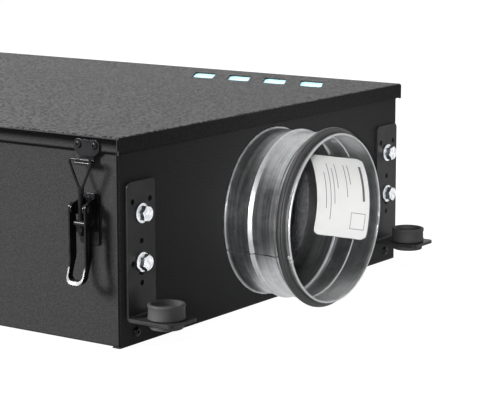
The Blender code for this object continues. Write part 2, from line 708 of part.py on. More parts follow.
# ---------------------------------------------------------------- brackets
def bracket_mesh():
    """Angle bracket at the front left corner: a drilled plate and a leg for the rubber mount."""
    path = (
        (BRACKET_INNER_X, BRACKET_TOP),
        (BRACKET_INNER_X, BRACKET_BOTTOM),
        (BRACKET_LEG_X, BRACKET_BOTTOM),
    )
    corner = rounded(path + ((BRACKET_LEG_X, BRACKET_TOP),), (0, BRACKET_BEND, 0, 0))[:-1]
    low = BRACKET_Y - BRACKET_WIDTH / 2
    high = BRACKET_Y + BRACKET_WIDTH / 2
    bm = bmesh.new()
    bm.from_mesh(prism(sheet_outline(corner, BRACKET_THICK), "Y", low, high))
    tips = []
    for edge in bm.edges:
        first, second = (v.co for v in edge.verts)
        side = abs(first.y - second.y) < 1e-6
        top = side and min(first.z, second.z) > BRACKET_TOP - 1e-6
        tip = side and min(first.x, second.x) > BRACKET_LEG_X - 1e-6
        if top or tip:
            tips.append(edge)
    bmesh.ops.bevel(bm, geom=tips, offset=BRACKET_CORNER, segments=2, profile=0.5, affect="EDGES")
    plate = mesh_from(bm)

    across = BRACKET_WIDTH / 2 - BRACKET_HOLE_EDGE
    small = (
        (across, BRACKET_TOP - BRACKET_HOLE_DROP),
        (-across, BRACKET_TOP - BRACKET_HOLE_DROP),
        (0, BOLT_Z[1] + BOLT_TO_HOLE),
        (across, BOLT_Z[1]),
        (0, BOLT_Z[1] - BOLT_TO_HOLE),
    )
    holes = [circle(BRACKET_HOLE_RADIUS, (BRACKET_Y + y, z), 8) for y, z in small]
    clear = BOLT_RADIUS + RUNNING_GAP
    holes.append(circle(clear, (BRACKET_Y, BOLT_Z[0]), 12))
    upper = circle(clear, (BRACKET_Y, BOLT_Z[1]), 6, 0, math.pi)
    lower = circle(clear, (BRACKET_Y, BOLT_Z[1] - BOLT_SLOT_DROP), 6, math.pi, math.pi)
    holes.append(upper + lower)
    cutters = [prism(h, "X", BRACKET_INNER_X - MM, BRACKET_OUTER_X + MM) for h in holes]
    waist = circle(MOUNT_WAIST_RADIUS + SEAT_GAP, (MOUNT_X, BRACKET_Y), 16)
    cutters.append(prism(waist, "Z", BRACKET_BOTTOM - MM, BRACKET_BOTTOM + BRACKET_THICK + MM))
    return cut(plate, *cutters)


def bolt_mesh(bolt_z):
    """Flange bolt through the bracket and the end panel."""
    seat = BRACKET_OUTER_X + SEAT_GAP
    tip = CASE_END - BOLT_INNER_LENGTH
    profile = (
        (tip, 0),
        (tip, BOLT_RADIUS),
        (seat, BOLT_RADIUS),
        (seat, BOLT_FLANGE_RADIUS),
        (seat + BOLT_FLANGE_THICK, BOLT_FLANGE_RADIUS - MM),
        (seat + BOLT_FLANGE_THICK, 0),
    )
    centre = (0, BRACKET_Y, bolt_z)
    shank = turned(profile, centre, 16)
    head = prism(
        hexagon(BOLT_HEX_ACROSS_FLATS, (BRACKET_Y, bolt_z)),
        "X", seat + BOLT_FLANGE_THICK / 2, seat + BOLT_HEAD
    )
    return join(shank, head)


def mount_mesh():
    """Rubber grommet mount held in the bracket's leg, bored for a hanging rod."""
    over = BRACKET_BOTTOM + BRACKET_THICK + SEAT_GAP
    under = BRACKET_BOTTOM - SEAT_GAP
    profile = (
        (MOUNT_BOTTOM, MOUNT_BORE_RADIUS),
        (MOUNT_BOTTOM, MOUNT_LOWER_RADIUS),
        (under, MOUNT_LOWER_RADIUS),
        (under, MOUNT_WAIST_RADIUS),
        (over, MOUNT_WAIST_RADIUS),
        (over, MOUNT_RADIUS),
        (MOUNT_TOP, MOUNT_RADIUS),
        (MOUNT_TOP, MOUNT_RECESS_RADIUS),
        (MOUNT_TOP - MOUNT_RECESS_DEPTH, MOUNT_RECESS_RADIUS),
        (MOUNT_TOP - MOUNT_RECESS_DEPTH, MOUNT_BORE_RADIUS),
    )
    return turned(profile, (MOUNT_X, BRACKET_Y, 0), 16, "Z")


def make_hangers():
    """A bracket, two bolts and a rubber mount at each corner."""
    bracket = bracket_mesh()
    bolts = [bolt_mesh(z) for z in BOLT_Z]
    mount = mount_mesh()
    for corner, x_sign, y_sign in CORNERS:
        node("bracket_" + corner, mirrored(bracket, x_sign, y_sign), "bracket_black")
        node("mount_" + corner, mirrored(mount, x_sign, y_sign), "rubber_black")
        for level, bolt in zip(("upper", "lower"), bolts):
            node(f"bolt_{corner}_{level}", mirrored(bolt, x_sign, y_sign), "zinc")


# ---------------------------------------------------------------- latches
# Latch pieces are made for a wall at y = 0 that faces -Y, with the latch centred on x = 0.
def pin_pair(centre_out, centre_z, inner, outer, radius):
    """Two short pins along X, one on each side of the latch's middle."""
    outline = circle(radius, (-centre_out, centre_z), 10)
    return [prism(outline, "X", inner, outer), prism(outline, "X", -outer, -inner)]


def latch_base_mesh():
    """Wall plate with two ears, each with its own pivot rivet."""
    half = LATCH_BASE_HALF_WIDTH
    back = -SEAT_GAP
    front = back - LATCH_BASE_THICK
    plate = box((-half, front, LATCH_BASE_BOTTOM), (half, back, LATCH_BASE_TOP))
    arc = circle(EAR_RADIUS, (-LATCH_PIVOT_OUT, LATCH_PIVOT_Z), 8, -math.pi / 2, -math.pi)
    root = (front + back) / 2
    spread = EAR_RADIUS + EAR_SPREAD
    outline = [(root, LATCH_PIVOT_Z - spread)] + arc + [(root, LATCH_PIVOT_Z + spread)]
    inner = EAR_INNER
    outer = EAR_INNER + EAR_THICK
    ears = [prism(outline, "X", inner, outer), prism(outline, "X", -outer, -inner)]
    head_start = LEVER_OUTER + RUNNING_GAP
    head_end = head_start + MM
    middle = (inner + outer) / 2
    rivets = pin_pair(LATCH_PIVOT_OUT, LATCH_PIVOT_Z, middle, (head_start + head_end) / 2, LATCH_PIN_RADIUS)
    heads = pin_pair(LATCH_PIVOT_OUT, LATCH_PIVOT_Z, head_start, head_end, 1.6 * LATCH_PIN_RADIUS)
    return join(plate, *ears, *rivets, *heads)


def lever_mesh():
    """Pull lever: two side plates joined by a ring that leans outwards."""
    top = LATCH_PIVOT_Z + LEVER_TOP_OVER_PIVOT
    outer = LEVER_OUTER
    inner = LEVER_INNER
    floor = LEVER_BOTTOM + LEVER_RING_THICK
    corners = (
        (-outer, top),
        (-outer, LEVER_BOTTOM),
        (outer, LEVER_BOTTOM),
        (outer, top),
        (inner, top),
        (inner, floor),
        (-inner, floor),
        (-inner, top),
    )
    round_out = LEVER_RING_ROUND
    round_in = round_out - LEVER_PLATE_THICK
    outline = rounded(corners, (0, round_out, round_out, 0, 0, round_in, round_in, 0), 4)
    middle = -LATCH_PIVOT_OUT
    bm = bmesh.new()
    bm.from_mesh(prism(outline, "Y", middle - LEVER_DEPTH / 2, middle + LEVER_DEPTH / 2))
    ends = [e for e in bm.edges if all(v.co.z > top - 1e-6 for v in e.verts)]
    ends = [e for e in ends if abs(e.verts[0].co.y - e.verts[1].co.y) < 1e-6]
    bmesh.ops.bevel(bm, geom=ends, offset=LEVER_DEPTH / 3, segments=2, profile=0.5, affect="EDGES")
    bmesh.ops.bisect_plane(
        bm, geom=bm.verts[:] + bm.edges[:] + bm.faces[:], dist=1e-7,
        plane_co=(0, 0, LEVER_NECK_Z), plane_no=(0, 0, 1),
    )
    for vert in bm.verts:
        if vert.co.z <= LEVER_NECK_Z + 1e-6:
            drop = LEVER_NECK_Z - vert.co.z
            vert.co.y = middle + (vert.co.y - middle) * LEVER_RING_TAPER - drop * LEVER_RING_LEAN
    lever = mesh_from(bm)
    reach = LEVER_OUTER + MM
    clear = LATCH_PIN_RADIUS + RUNNING_GAP
    pivot = prism(circle(clear, (-LATCH_PIVOT_OUT, LATCH_PIVOT_Z), 10), "X", -reach, reach)
    trunnion = prism(circle(clear, (-TRUNNION_OUT, TRUNNION_Z), 10), "X", -reach, reach)
    return cut(lever, pivot, trunnion)


def wire_mesh(points, radius):
    """Closed round wire through the given points."""
    curve = bpy.data.curves.new("wire", "CURVE")
    curve.dimensions = "3D"
    curve.bevel_depth = radius
    curve.bevel_resolution = 1
    spline = curve.splines.new("POLY")
    spline.points.add(len(points) - 1)
    for point, place_at in zip(spline.points, points):
        point.co = (*place_at, 1.0)
    spline.use_cyclic_u = True
    item = bpy.data.objects.new("wire", curve)
    bpy.context.collection.objects.link(item)
    evaluated = item.evaluated_get(bpy.context.evaluated_depsgraph_get())
    mesh = bpy.data.meshes.new_from_object(evaluated)
    bpy.data.objects.remove(item)
    bm = bmesh.new()
    bm.from_mesh(mesh)
    return mesh_from(bm)


def loop_mesh():
    """Wire bail on a threaded rod, with its trunnion barrel and adjusting nut."""
    y = -TRUNNION_OUT
    triangle = (
        (-LOOP_HALF_WIDTH, HOOK_BAR_Z),
        (-ROD_RADIUS / 2, LOOP_APEX_Z),
        (ROD_RADIUS / 2, LOOP_APEX_Z),
        (LOOP_HALF_WIDTH, HOOK_BAR_Z),
    )
    outline = rounded(triangle, (LOOP_CORNER, 0, 0, LOOP_CORNER))
    wire = wire_mesh([(x, y, z) for x, z in outline], WIRE_RADIUS)
    rod = prism(circle(ROD_RADIUS, (0, y), 10), "Z", TRUNNION_Z - ROD_TAIL, LOOP_APEX_Z + 2 * MM)
    barrel = prism(circle(TRUNNION_RADIUS, (y, TRUNNION_Z), 12), "X", RUNNING_GAP - LEVER_INNER,
                   LEVER_INNER - RUNNING_GAP)
    middle = LEVER_INNER / 2
    pins = pin_pair(TRUNNION_OUT, TRUNNION_Z, middle, LEVER_OUTER - RUNNING_GAP, LATCH_PIN_RADIUS)
    nut_top = TRUNNION_Z - TRUNNION_RADIUS - RUNNING_GAP
    nut = prism(hexagon(NUT_ACROSS_FLATS, (0, y)), "Z", nut_top - NUT_THICK, nut_top)
    return join(rod, wire, barrel, *pins, nut)


def keeper_mesh():
    """Catch plate on the lid's flange, narrowing to a tongue that the bail hooks over."""
    back = -(LID_OVERHANG + SEAT_GAP)
    tip = -(TRUNNION_OUT - WIRE_RADIUS - TONGUE_TIP_GAP)
    tongue_top = HOOK_BAR_Z - WIRE_RADIUS - TONGUE_TOP_GAP
    bottom = tongue_top - KEEPER_THICK
    outline = (
        (back, bottom),
        (back, KEEPER_TOP),
        (back - KEEPER_THICK, KEEPER_TOP),
        (back - KEEPER_THICK, tongue_top),
        (tip, tongue_top),
        (tip, bottom),
    )
    half = KEEPER_HALF_WIDTH
    tongue = KEEPER_TONGUE_HALF_WIDTH
    shoulder = CASE_HEIGHT - LID_FLANGE
    front = (
        (-half, KEEPER_TOP + MM),
        (-half, shoulder),
        (-tongue, tongue_top + KEEPER_THICK),
        (-tongue, bottom - MM),
        (tongue, bottom - MM),
        (tongue, tongue_top + KEEPER_THICK),
        (half, shoulder),
        (half, KEEPER_TOP + MM),
    )
    return common(prism(outline, "X", -half, half), prism(front, "Y", tip - MM, back + MM))


def make_latches():
    """A toggle latch at each corner of the long sides."""
    shapes = {
        "base": latch_base_mesh(),
        "lever": lever_mesh(),
        "loop": loop_mesh(),
        "keeper": keeper_mesh(),
    }
    for corner, x_sign, y_sign in CORNERS:
        turn = Matrix.Rotation(math.pi if y_sign > 0 else 0, 4, "Z")
        seat = Matrix.Translation((x_sign * LATCH_X, y_sign * CASE_SIDE, 0)) @ turn
        placed = {}
        for part, mesh in shapes.items():
            placed[part] = mesh.copy()
            placed[part].transform(seat)
        pivot = joint_empty("latch_pivot_" + corner, seat @ Vector((0, -LATCH_PIVOT_OUT, LATCH_PIVOT_Z)))
        swing = joint_empty("loop_pivot_" + corner, seat @ Vector((0, -TRUNNION_OUT, TRUNNION_Z)))
        node("latch_base_" + corner, placed["base"], "latch_black")
        node("keeper_" + corner, placed["keeper"], "latch_black")
        node("latch_lever_" + corner, placed["lever"], "latch_black", pivot)
        node("latch_loop_" + corner, placed["loop"], "latch_black", swing)


# ---------------------------------------------------------------- air way
def make_core():
    """Regenerator block that stores the heat of each air reversal."""
    half = INNER_HALF_WIDTH
    block = box((CORE_REAR_X, -half, INNER_FLOOR), (CORE_FRONT_X, half, INNER_TOP))
    node("heat_core", block, "core_ceramic")


def filter_mesh(low_x):
    """Pleated filter panel: one folded sheet across the air way, with a post at each side."""
    post = FILTER_POST
    half = INNER_HALF_WIDTH
    pitch = 2 * (half - post) / FILTER_PLEATS
    path = [(low_x, post - half)]
    for i in range(FILTER_PLEATS):
        start = post - half + i * pitch
        path.append((low_x + FILTER_DEPTH - FILTER_SHEET, start + pitch / 2))
        path.append((low_x, start + pitch))
    front = path
    back = [(x + FILTER_SHEET, y) for x, y in reversed(path)]
    far = low_x + FILTER_DEPTH
    first_post = [(far, post - half), (far, -half), (low_x, -half)]
    last_post = [(low_x, half), (far, half), (far, half - post)]
    outline = front + last_post + back + first_post
    return prism(outline, "Z", INNER_FLOOR, INNER_TOP)


def make_filters():
    """One pleated filter on each side of the core."""
    node("filter_front", filter_mesh(FILTER_FRONT_X), "filter_cloth", smooth=False)
    node("filter_rear", filter_mesh(FILTER_REAR_X), "filter_cloth", smooth=False)


def make_fan():
    """Fan plate with its ring, the motor on three struts and the impeller."""
    half = INNER_HALF_WIDTH
    centre = (0, 0, DUCT_CENTRE_Z)
    start = FAN_PLATE_X
    face = start + FAN_PLATE_THICK
    plate = box((start, -half, INNER_FLOOR), (face, half, INNER_TOP))
    ring_outer = circle(FAN_BORE_RADIUS + FAN_RING_WALL, (0, DUCT_CENTRE_Z))
    ring = prism(ring_outer, "X", start + FAN_PLATE_THICK / 2, start + FAN_RING_LENGTH)
    bore = prism(circle(FAN_BORE_RADIUS, (0, DUCT_CENTRE_Z)), "X", start - MM, start + FAN_RING_LENGTH + MM)
    node("fan_plate", cut(join(plate, ring), bore), "plastic_black")

    motor_end = face + MOTOR_LENGTH
    shaft_end = motor_end + IMPELLER_LENGTH - 2 * MM
    profile = (
        (start, 0),
        (start, MOTOR_RADIUS),
        (motor_end, MOTOR_RADIUS),
        (motor_end, MOTOR_SHAFT_RADIUS),
        (shaft_end, MOTOR_SHAFT_RADIUS),
        (shaft_end, 0),
    )
    motor = turned(profile, centre, 24)
    reach = FAN_BORE_RADIUS * math.cos(math.pi / ROUND_STEPS) - SEAT_GAP
    for i in range(MOTOR_STRUT_COUNT):
        arm = box((start, -MOTOR_STRUT / 2, MOTOR_RADIUS / 2), (face + MOTOR_STRUT, MOTOR_STRUT / 2, reach))
        arm.transform(Matrix.Translation(centre) @ Matrix.Rotation(math.tau * i / MOTOR_STRUT_COUNT, 4, "X"))
        motor = join(motor, arm)
    node("fan_motor", motor, "plastic_black")

    hub_start = motor_end + 2 * RUNNING_GAP
    hub_end = hub_start + IMPELLER_LENGTH
    profile = (
        (hub_start, MOTOR_SHAFT_RADIUS + RUNNING_GAP),
        (hub_start, IMPELLER_HUB_RADIUS),
        (hub_end - IMPELLER_NOSE, IMPELLER_HUB_RADIUS),
        (hub_end, IMPELLER_HUB_RADIUS - IMPELLER_NOSE),
        (hub_end, 0),
        (shaft_end + RUNNING_GAP, 0),
        (shaft_end + RUNNING_GAP, MOTOR_SHAFT_RADIUS + RUNNING_GAP),
    )
    impeller = turned(profile, centre, 28)
    tip = FAN_BORE_RADIUS - IMPELLER_TIP_GAP
    root = IMPELLER_HUB_RADIUS - 2 * MM
    middle_x = (hub_start + hub_end) / 2
    chord = IMPELLER_LENGTH / math.cos(BLADE_TWIST)
    for i in range(BLADE_COUNT):
        blade = box((-chord / 2, -BLADE_THICK / 2, root), (chord / 2, BLADE_THICK / 2, tip))
        lean = Matrix.Rotation(BLADE_TWIST, 4, "Z")
        spin = Matrix.Rotation(math.tau * i / BLADE_COUNT, 4, "X")
        blade.transform(Matrix.Translation((middle_x, 0, DUCT_CENTRE_Z)) @ spin @ lean)
        impeller = join(impeller, blade)
    rim = prism(circle(tip, (0, DUCT_CENTRE_Z)), "X", hub_start, hub_end)
    impeller = common(impeller, rim)
    spin_axis = joint_empty("impeller_axis", (middle_x, 0, DUCT_CENTRE_Z))
    node("fan_impeller", impeller, "plastic_grey", spin_axis)


def make_damper():
    """Round shut-off damper behind the rear spigot: ring, blade on its shaft, and actuator."""
    outer = DUCT_RADIUS
    inner = outer - DAMPER_RING_WALL
    low = DAMPER_RING_LOW
    high = DAMPER_RING_HIGH
    ring = prism(circle(outer, (0, DUCT_CENTRE_Z)), "X", low, high)
    bore = prism(circle(inner, (0, DUCT_CENTRE_Z)), "X", low - MM, high + MM)
    clear = DAMPER_SHAFT_RADIUS + RUNNING_GAP
    shaft_line = circle(clear, (DAMPER_SHAFT_X, DUCT_CENTRE_Z), 12)
    shaft_bore = prism(shaft_line, "Y", -outer - MM, outer + MM)
    node("damper_ring", cut(ring, bore, shaft_bore), "plastic_grey")

    shaft_end = ACTUATOR_Y + ACTUATOR_SIZE[1] / 2
    shaft = prism(
        circle(DAMPER_SHAFT_RADIUS, (DAMPER_SHAFT_X, DUCT_CENTRE_Z), 12),
        "Y", -outer - DAMPER_SHAFT_TAIL, shaft_end
    )
    blade_radius = inner * math.cos(math.pi / ROUND_STEPS) - DAMPER_BLADE_GAP
    half_thick = DAMPER_BLADE_THICK / 2
    disc = prism(
        circle(blade_radius, (0, DUCT_CENTRE_Z)),
        "X", DAMPER_SHAFT_X - half_thick, DAMPER_SHAFT_X + half_thick
    )
    axis = joint_empty("damper_axis", (DAMPER_SHAFT_X, 0, DUCT_CENTRE_Z))
    node("damper_blade", join(disc, shaft), "galvanised", axis)

    half_x = ACTUATOR_SIZE[0] / 2
    body = box(
        (DAMPER_SHAFT_X - half_x, ACTUATOR_Y, DUCT_CENTRE_Z - ACTUATOR_SIZE[2] / 2),
        (DAMPER_SHAFT_X + half_x, ACTUATOR_Y + ACTUATOR_SIZE[1], DUCT_CENTRE_Z + ACTUATOR_SIZE[2] / 2),
    )
    socket = prism(shaft_line, "Y", ACTUATOR_Y - MM, shaft_end + SEAT_GAP)
    node("damper_actuator", cut(body, socket), "actuator_orange")

    wall = box(
        (SEAT_GAP - CAVITY_X, PARTITION_Y, INNER_FLOOR),
        (FAN_PLATE_X - SEAT_GAP, PARTITION_Y + PARTITION_THICK, INNER_TOP),
    )
    hole = prism(shaft_line, "Y", PARTITION_Y - MM, PARTITION_Y + PARTITION_THICK + MM)
    node("control_partition", cut(wall, hole), "galvanised")


def make_controls():
    """Control box with its cover and circuit board, and the cable gland in the rear panel."""
    wall = CONTROL_BOX_WALL
    high_y = INNER_HALF_WIDTH
    low_y = CONTROL_BOX_Y
    low_x = SEAT_GAP - CAVITY_X + CONTROL_BOX_CLEAR
    high_x = low_x + CONTROL_BOX_LENGTH
    floor = INNER_FLOOR
    top = floor + CONTROL_BOX_HEIGHT
    case = box((low_x, low_y, floor), (high_x, high_y, top))
    hollow = box((low_x + wall, low_y + wall, floor + wall), (high_x - wall, high_y - wall, top + MM))
    entry = prism(
        circle(GLAND_THREAD_RADIUS + MM, (GLAND_Y, DUCT_CENTRE_Z), 16), "X", low_x - MM, low_x + wall + MM
    )
    case = cut(case, hollow, entry)
    boss = STUD_SIZE
    inset = wall + STUD_INSET
    board_z = floor + wall + BOARD_STAND_OFF
    for x in (low_x + inset, high_x - inset):
        for y in (low_y + inset, high_y - inset):
            stud = box((x - boss / 2, y - boss / 2, floor + wall / 2), (x + boss / 2, y + boss / 2, board_z))
            case = join(case, stud)
    node("control_box", case, "plastic_grey", smooth=False)

    cover = box((low_x, low_y, top + SEAT_GAP), (high_x, high_y, top + SEAT_GAP + wall))
    node("control_cover", cover, "plastic_black", smooth=False)

    edge = wall + BOARD_EDGE
    seat = board_z + SEAT_GAP
    board = box((low_x + edge, low_y + edge, seat), (high_x - edge, high_y - edge, seat + BOARD_THICK))
    face = seat + BOARD_THICK / 2
    middle_y = (low_y + high_y) / 2
    for along, across, size_x, size_y, tall in BOARD_PARTS:
        x = low_x + along
        y = middle_y + across
        block = box((x - size_x / 2, y - size_y / 2, face), (x + size_x / 2, y + size_y / 2, seat + tall))
        board = join(board, block)
    node("circuit_board", board, "circuit_green", smooth=False)

    seat_x = CASE_END + SEAT_GAP
    inner_end = CAVITY_X - SEAT_GAP
    thread = turned(
        (
            (inner_end, GLAND_BORE_RADIUS),
            (inner_end, GLAND_THREAD_RADIUS),
            (seat_x + 2 * MM, GLAND_THREAD_RADIUS),
            (seat_x + GLAND_LENGTH, GLAND_THREAD_RADIUS),
            (seat_x + GLAND_LENGTH, GLAND_BORE_RADIUS),
        ),
        (0, GLAND_Y, DUCT_CENTRE_Z),
        16,
    )
    nut = prism(
        hexagon(GLAND_HEX_ACROSS_FLATS, (GLAND_Y, DUCT_CENTRE_Z)), "X", seat_x, seat_x + GLAND_NUT_LENGTH
    )
    dome = prism(
        circle(GLAND_HEX_ACROSS_FLATS / 2 - MM, (GLAND_Y, DUCT_CENTRE_Z), 16),
        "X", seat_x + GLAND_NUT_LENGTH - MM,
        seat_x + GLAND_LENGTH - GLAND_LIP
    )
    bore = prism(
        circle(GLAND_BORE_RADIUS, (GLAND_Y, DUCT_CENTRE_Z), 16),
        "X", inner_end - MM, seat_x + GLAND_LENGTH + MM
    )
    gland = cut(join(thread, nut, dome), bore)
    node("cable_gland", mirrored(gland, -1, 1), "plastic_black")


def main():
    for item in list(bpy.data.objects):
        bpy.data.objects.remove(item)
    make_tray()
    for name, sign in ENDS:
        make_end_panel(name, sign)
        make_spigot(name, sign)
    make_lid()
    make_foam_liner()
    make_hangers()
    make_latches()
    make_core()
    make_filters()
    make_fan()
    make_damper()
    make_controls()


main()
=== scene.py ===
# %% [markdown]
# # Inline heat recovery unit
# A flat folded-steel box with a round duct spigot on each end, four hanger brackets and a latched lid.
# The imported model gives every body, joint and place; these cells build the visible pieces around it.

# %% Load the frame
import math

import bmesh
import bpy
from mathutils import Euler, Matrix, Vector, noise


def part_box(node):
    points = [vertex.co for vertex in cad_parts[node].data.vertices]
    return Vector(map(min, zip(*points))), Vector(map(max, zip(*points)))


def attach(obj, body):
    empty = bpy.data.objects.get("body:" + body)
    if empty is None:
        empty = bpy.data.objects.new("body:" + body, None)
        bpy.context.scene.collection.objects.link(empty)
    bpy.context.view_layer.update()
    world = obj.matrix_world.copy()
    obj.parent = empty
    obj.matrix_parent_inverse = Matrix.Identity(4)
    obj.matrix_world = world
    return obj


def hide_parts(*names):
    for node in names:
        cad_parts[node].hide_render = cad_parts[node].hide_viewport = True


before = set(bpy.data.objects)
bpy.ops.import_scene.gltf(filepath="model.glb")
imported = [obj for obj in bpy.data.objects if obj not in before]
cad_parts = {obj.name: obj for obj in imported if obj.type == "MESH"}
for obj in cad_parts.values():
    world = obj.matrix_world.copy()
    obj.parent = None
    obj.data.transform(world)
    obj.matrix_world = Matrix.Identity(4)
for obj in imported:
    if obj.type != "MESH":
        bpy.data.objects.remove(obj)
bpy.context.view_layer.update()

MM = 0.001

# %% [markdown]
# ## Places
# Every place comes from the boxes of the imported nodes, so a changed casing carries
# its screws, seams and labels along.

# %% Read the places
LID_LOW, LID_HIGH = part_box("lid")
PANEL_LOW, PANEL_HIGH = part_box("end_panel_front")
TRAY_LOW, TRAY_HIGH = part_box("tray")
SPIGOT_LOW, SPIGOT_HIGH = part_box("spigot_front")
SEAL_LOW, SEAL_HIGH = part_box("spigot_seal_front")
BRACKET_LOW, BRACKET_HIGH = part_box("bracket_front_left")
MOUNT_LOW, MOUNT_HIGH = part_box("mount_front_left")
CASE_X = PANEL_HIGH.x
CASE_Y = TRAY_HIGH.y
DUCT_Z = (SPIGOT_LOW.z + SPIGOT_HIGH.z) / 2
DUCT_RADIUS = 80 * MM
DUCT_WALL = 1.2 * MM
SHEET = 1.2 * MM
CORNERS = (
    ("front_right", 1, -1),
    ("front_left", 1, 1),
    ("rear_right", -1, -1),
    ("rear_left", -1, 1),
)
print("casing half sizes", round(CASE_X, 4), round(CASE_Y, 4), "duct centre height", round(DUCT_Z, 4))

# %% [markdown]
# ## Camera
# A long lens from the front right, a little above the lid, so the long edges converge only slightly.

# %% Camera
camera_data = bpy.data.cameras.new("camera")
camera_data.lens = 138.4
camera_data.sensor_width = 36
camera = bpy.data.objects.new("camera", camera_data)
bpy.context.scene.collection.objects.link(camera)
camera.location = (1.3338, -1.5254, 0.4334)
camera.rotation_euler = (math.radians(90 - 10.28), 0, math.radians(34.79))
bpy.context.scene.camera = camera
bpy.context.scene.view_settings.view_transform = "Standard"

# %% [markdown]
# ## Node helper
# Material and geometry trees are both wired the same way: make a node, set its plain values, and link
# the inputs that come from other nodes.


# %% Node helper
def add(tree, kind, settings=None, values=None):
    """Add a node; each value is a constant or another node's output, by input name or number."""
    made = tree.nodes.new(kind)
    for key, value in (settings or {}).items():
        setattr(made, key, value)
    for key, value in (values or {}).items():
        if isinstance(value, bpy.types.NodeSocket):
            tree.links.new(value, made.inputs[key])
        else:
            made.inputs[key].default_value = value
    return made


def maths(tree, operation, first, second=0.0):
    """One sum in a node tree; gives the output socket."""
    return add(tree, "ShaderNodeMath", {"operation": operation}, {0: first, 1: second}).outputs[0]


# %% [markdown]
# ## Studio
# A pale floor and a white surround. A wide soft lamp overhead lights the lid, a smaller one the long
# side, and a faint one the end, which stays the darkest face. A snoot lamp picks out the inside of the
# spigot. Camera, glossy and transmission rays all meet the same white.

# %% Floor and surround
FLOOR_REACH = 14.0
WHITE = (1, 1, 1, 1)


def seen_directly(tree):
    """One where a ray comes from the camera or by way of a shiny or clear surface."""
    path = add(tree, "ShaderNodeLightPath").outputs
    shiny = maths(tree, "MAXIMUM", path["Is Glossy Ray"], path["Is Transmission Ray"])
    return maths(tree, "MAXIMUM", path["Is Camera Ray"], shiny)


def make_floor():
    """Pale floor that keeps the object's shadow."""
    mesh = bpy.data.meshes.new("floor")
    reach = FLOOR_REACH
    low = -0.2 * MM
    mesh.from_pydata([(-reach, -reach, low), (reach, -reach, low), (reach, reach, low), (-reach, reach, low)],
                     [], [(0, 1, 2, 3)])
    floor = bpy.data.objects.new("floor", mesh)
    bpy.context.scene.collection.objects.link(floor)
    made = bpy.data.materials.new("studio_floor")
    made.use_nodes = True
    tree = made.node_tree
    tree.nodes.clear()
    matt = add(tree, "ShaderNodeBsdfDiffuse", None, {"Color": (0.14, 0.14, 0.14, 1)})
    glow = add(tree, "ShaderNodeEmission", None, {"Color": WHITE, "Strength": 0.97})
    dark = add(tree, "ShaderNodeEmission", None, {"Color": (0, 0, 0, 1)})
    lift = add(tree, "ShaderNodeMixShader", None,
               {0: seen_directly(tree), 1: dark.outputs[0], 2: glow.outputs[0]})
    both = add(tree, "ShaderNodeAddShader", None, {0: matt.outputs[0], 1: lift.outputs[0]})
    add(tree, "ShaderNodeOutputMaterial", None, {0: both.outputs[0]})
    mesh.materials.append(made)


def make_surround(level):
    """White surround that lights the object at the given level."""
    world = bpy.data.worlds.new("surround")
    bpy.context.scene.world = world
    world.use_nodes = True
    tree = world.node_tree
    tree.nodes.clear()
    soft = add(tree, "ShaderNodeBackground", None, {"Color": WHITE, "Strength": level})
    white = add(tree, "ShaderNodeBackground", None, {"Color": WHITE, "Strength": 1.0})
    mix = add(tree, "ShaderNodeMixShader", None,
              {0: seen_directly(tree), 1: soft.outputs[0], 2: white.outputs[0]})
    add(tree, "ShaderNodeOutputWorld", None, {0: mix.outputs[0]})


make_floor()
make_surround(0.10)


# %% Lamps
def soft_lamp(name, place, size, power, mirrored_in_metal=True):
    """Panel lamp aimed at the middle of the casing; it can be kept out of shiny surfaces."""
    data = bpy.data.lights.new(name, "AREA")
    data.shape = "RECTANGLE"
    data.size, data.size_y = size
    data.energy = power
    lamp = bpy.data.objects.new(name, data)
    lamp.location = place
    lamp.visible_glossy = mirrored_in_metal
    aim = Vector((0, 0, 0.1)) - Vector(place)
    lamp.rotation_euler = aim.to_track_quat("-Z", "Y").to_euler()
    bpy.context.scene.collection.objects.link(lamp)


def snoot_lamp(name, place, aim, width, power):
    """Narrow lamp that only lights the spot it is aimed at."""
    data = bpy.data.lights.new(name, "SPOT")
    data.spot_size = width
    data.spot_blend = 0.7
    data.shadow_soft_size = 0.12
    data.energy = power
    lamp = bpy.data.objects.new(name, data)
    lamp.location = place
    lamp.rotation_euler = (Vector(aim) - Vector(place)).to_track_quat("-Z", "Y").to_euler()
    bpy.context.scene.collection.objects.link(lamp)


soft_lamp("lamp_overhead", (-0.75, -0.2, 2.1), (1.7, 1.8), 84, False)
soft_lamp("lamp_side", (-1.3, -2.4, 1.2), (0.8, 0.8), 215)
soft_lamp("lamp_front", (1.9, -2.3, 0.7), (0.8, 0.8), 14)
snoot_lamp("lamp_snoot", (1.5, -1.9, 0.45), (0.345, 0.045, 0.105), math.radians(4.4), 560)

# %% [markdown]
# ## Finishes
# Each finish is one Principled shader. Values that are the same all over sit on its own sockets; grain,
# streaks and relief are noise on object coordinates, in metres, so a pattern keeps its real size.


# %% Finish helpers
def start_finish(name, colour, roughness, metallic=0.0, **sockets):
    """New material: its tree, its Principled shader and its object coordinates."""
    made = bpy.data.materials.new(name)
    made.use_nodes = True
    tree = made.node_tree
    shader = tree.nodes["Principled BSDF"]
    shader.inputs["Base Color"].default_value = (*colour, 1)
    shader.inputs["Roughness"].default_value = roughness
    shader.inputs["Metallic"].default_value = metallic
    for key, value in sockets.items():
        shader.inputs[key.replace("_", " ")].default_value = value
    made.diffuse_color = (*colour, 1)
    place = add(tree, "ShaderNodeTexCoord").outputs["Object"]
    return made, tree, shader, place


def grain(tree, place, scale, detail=2.0, stretch=(1, 1, 1)):
    """Noise with features about 1/scale metres across, stretched along an axis if asked."""
    if tuple(stretch) != (1, 1, 1):
        place = add(tree, "ShaderNodeMapping", None, {"Vector": place, "Scale": stretch}).outputs[0]
    return add(tree, "ShaderNodeTexNoise", None,
               {"Vector": place, "Scale": scale, "Detail": detail}).outputs[0]


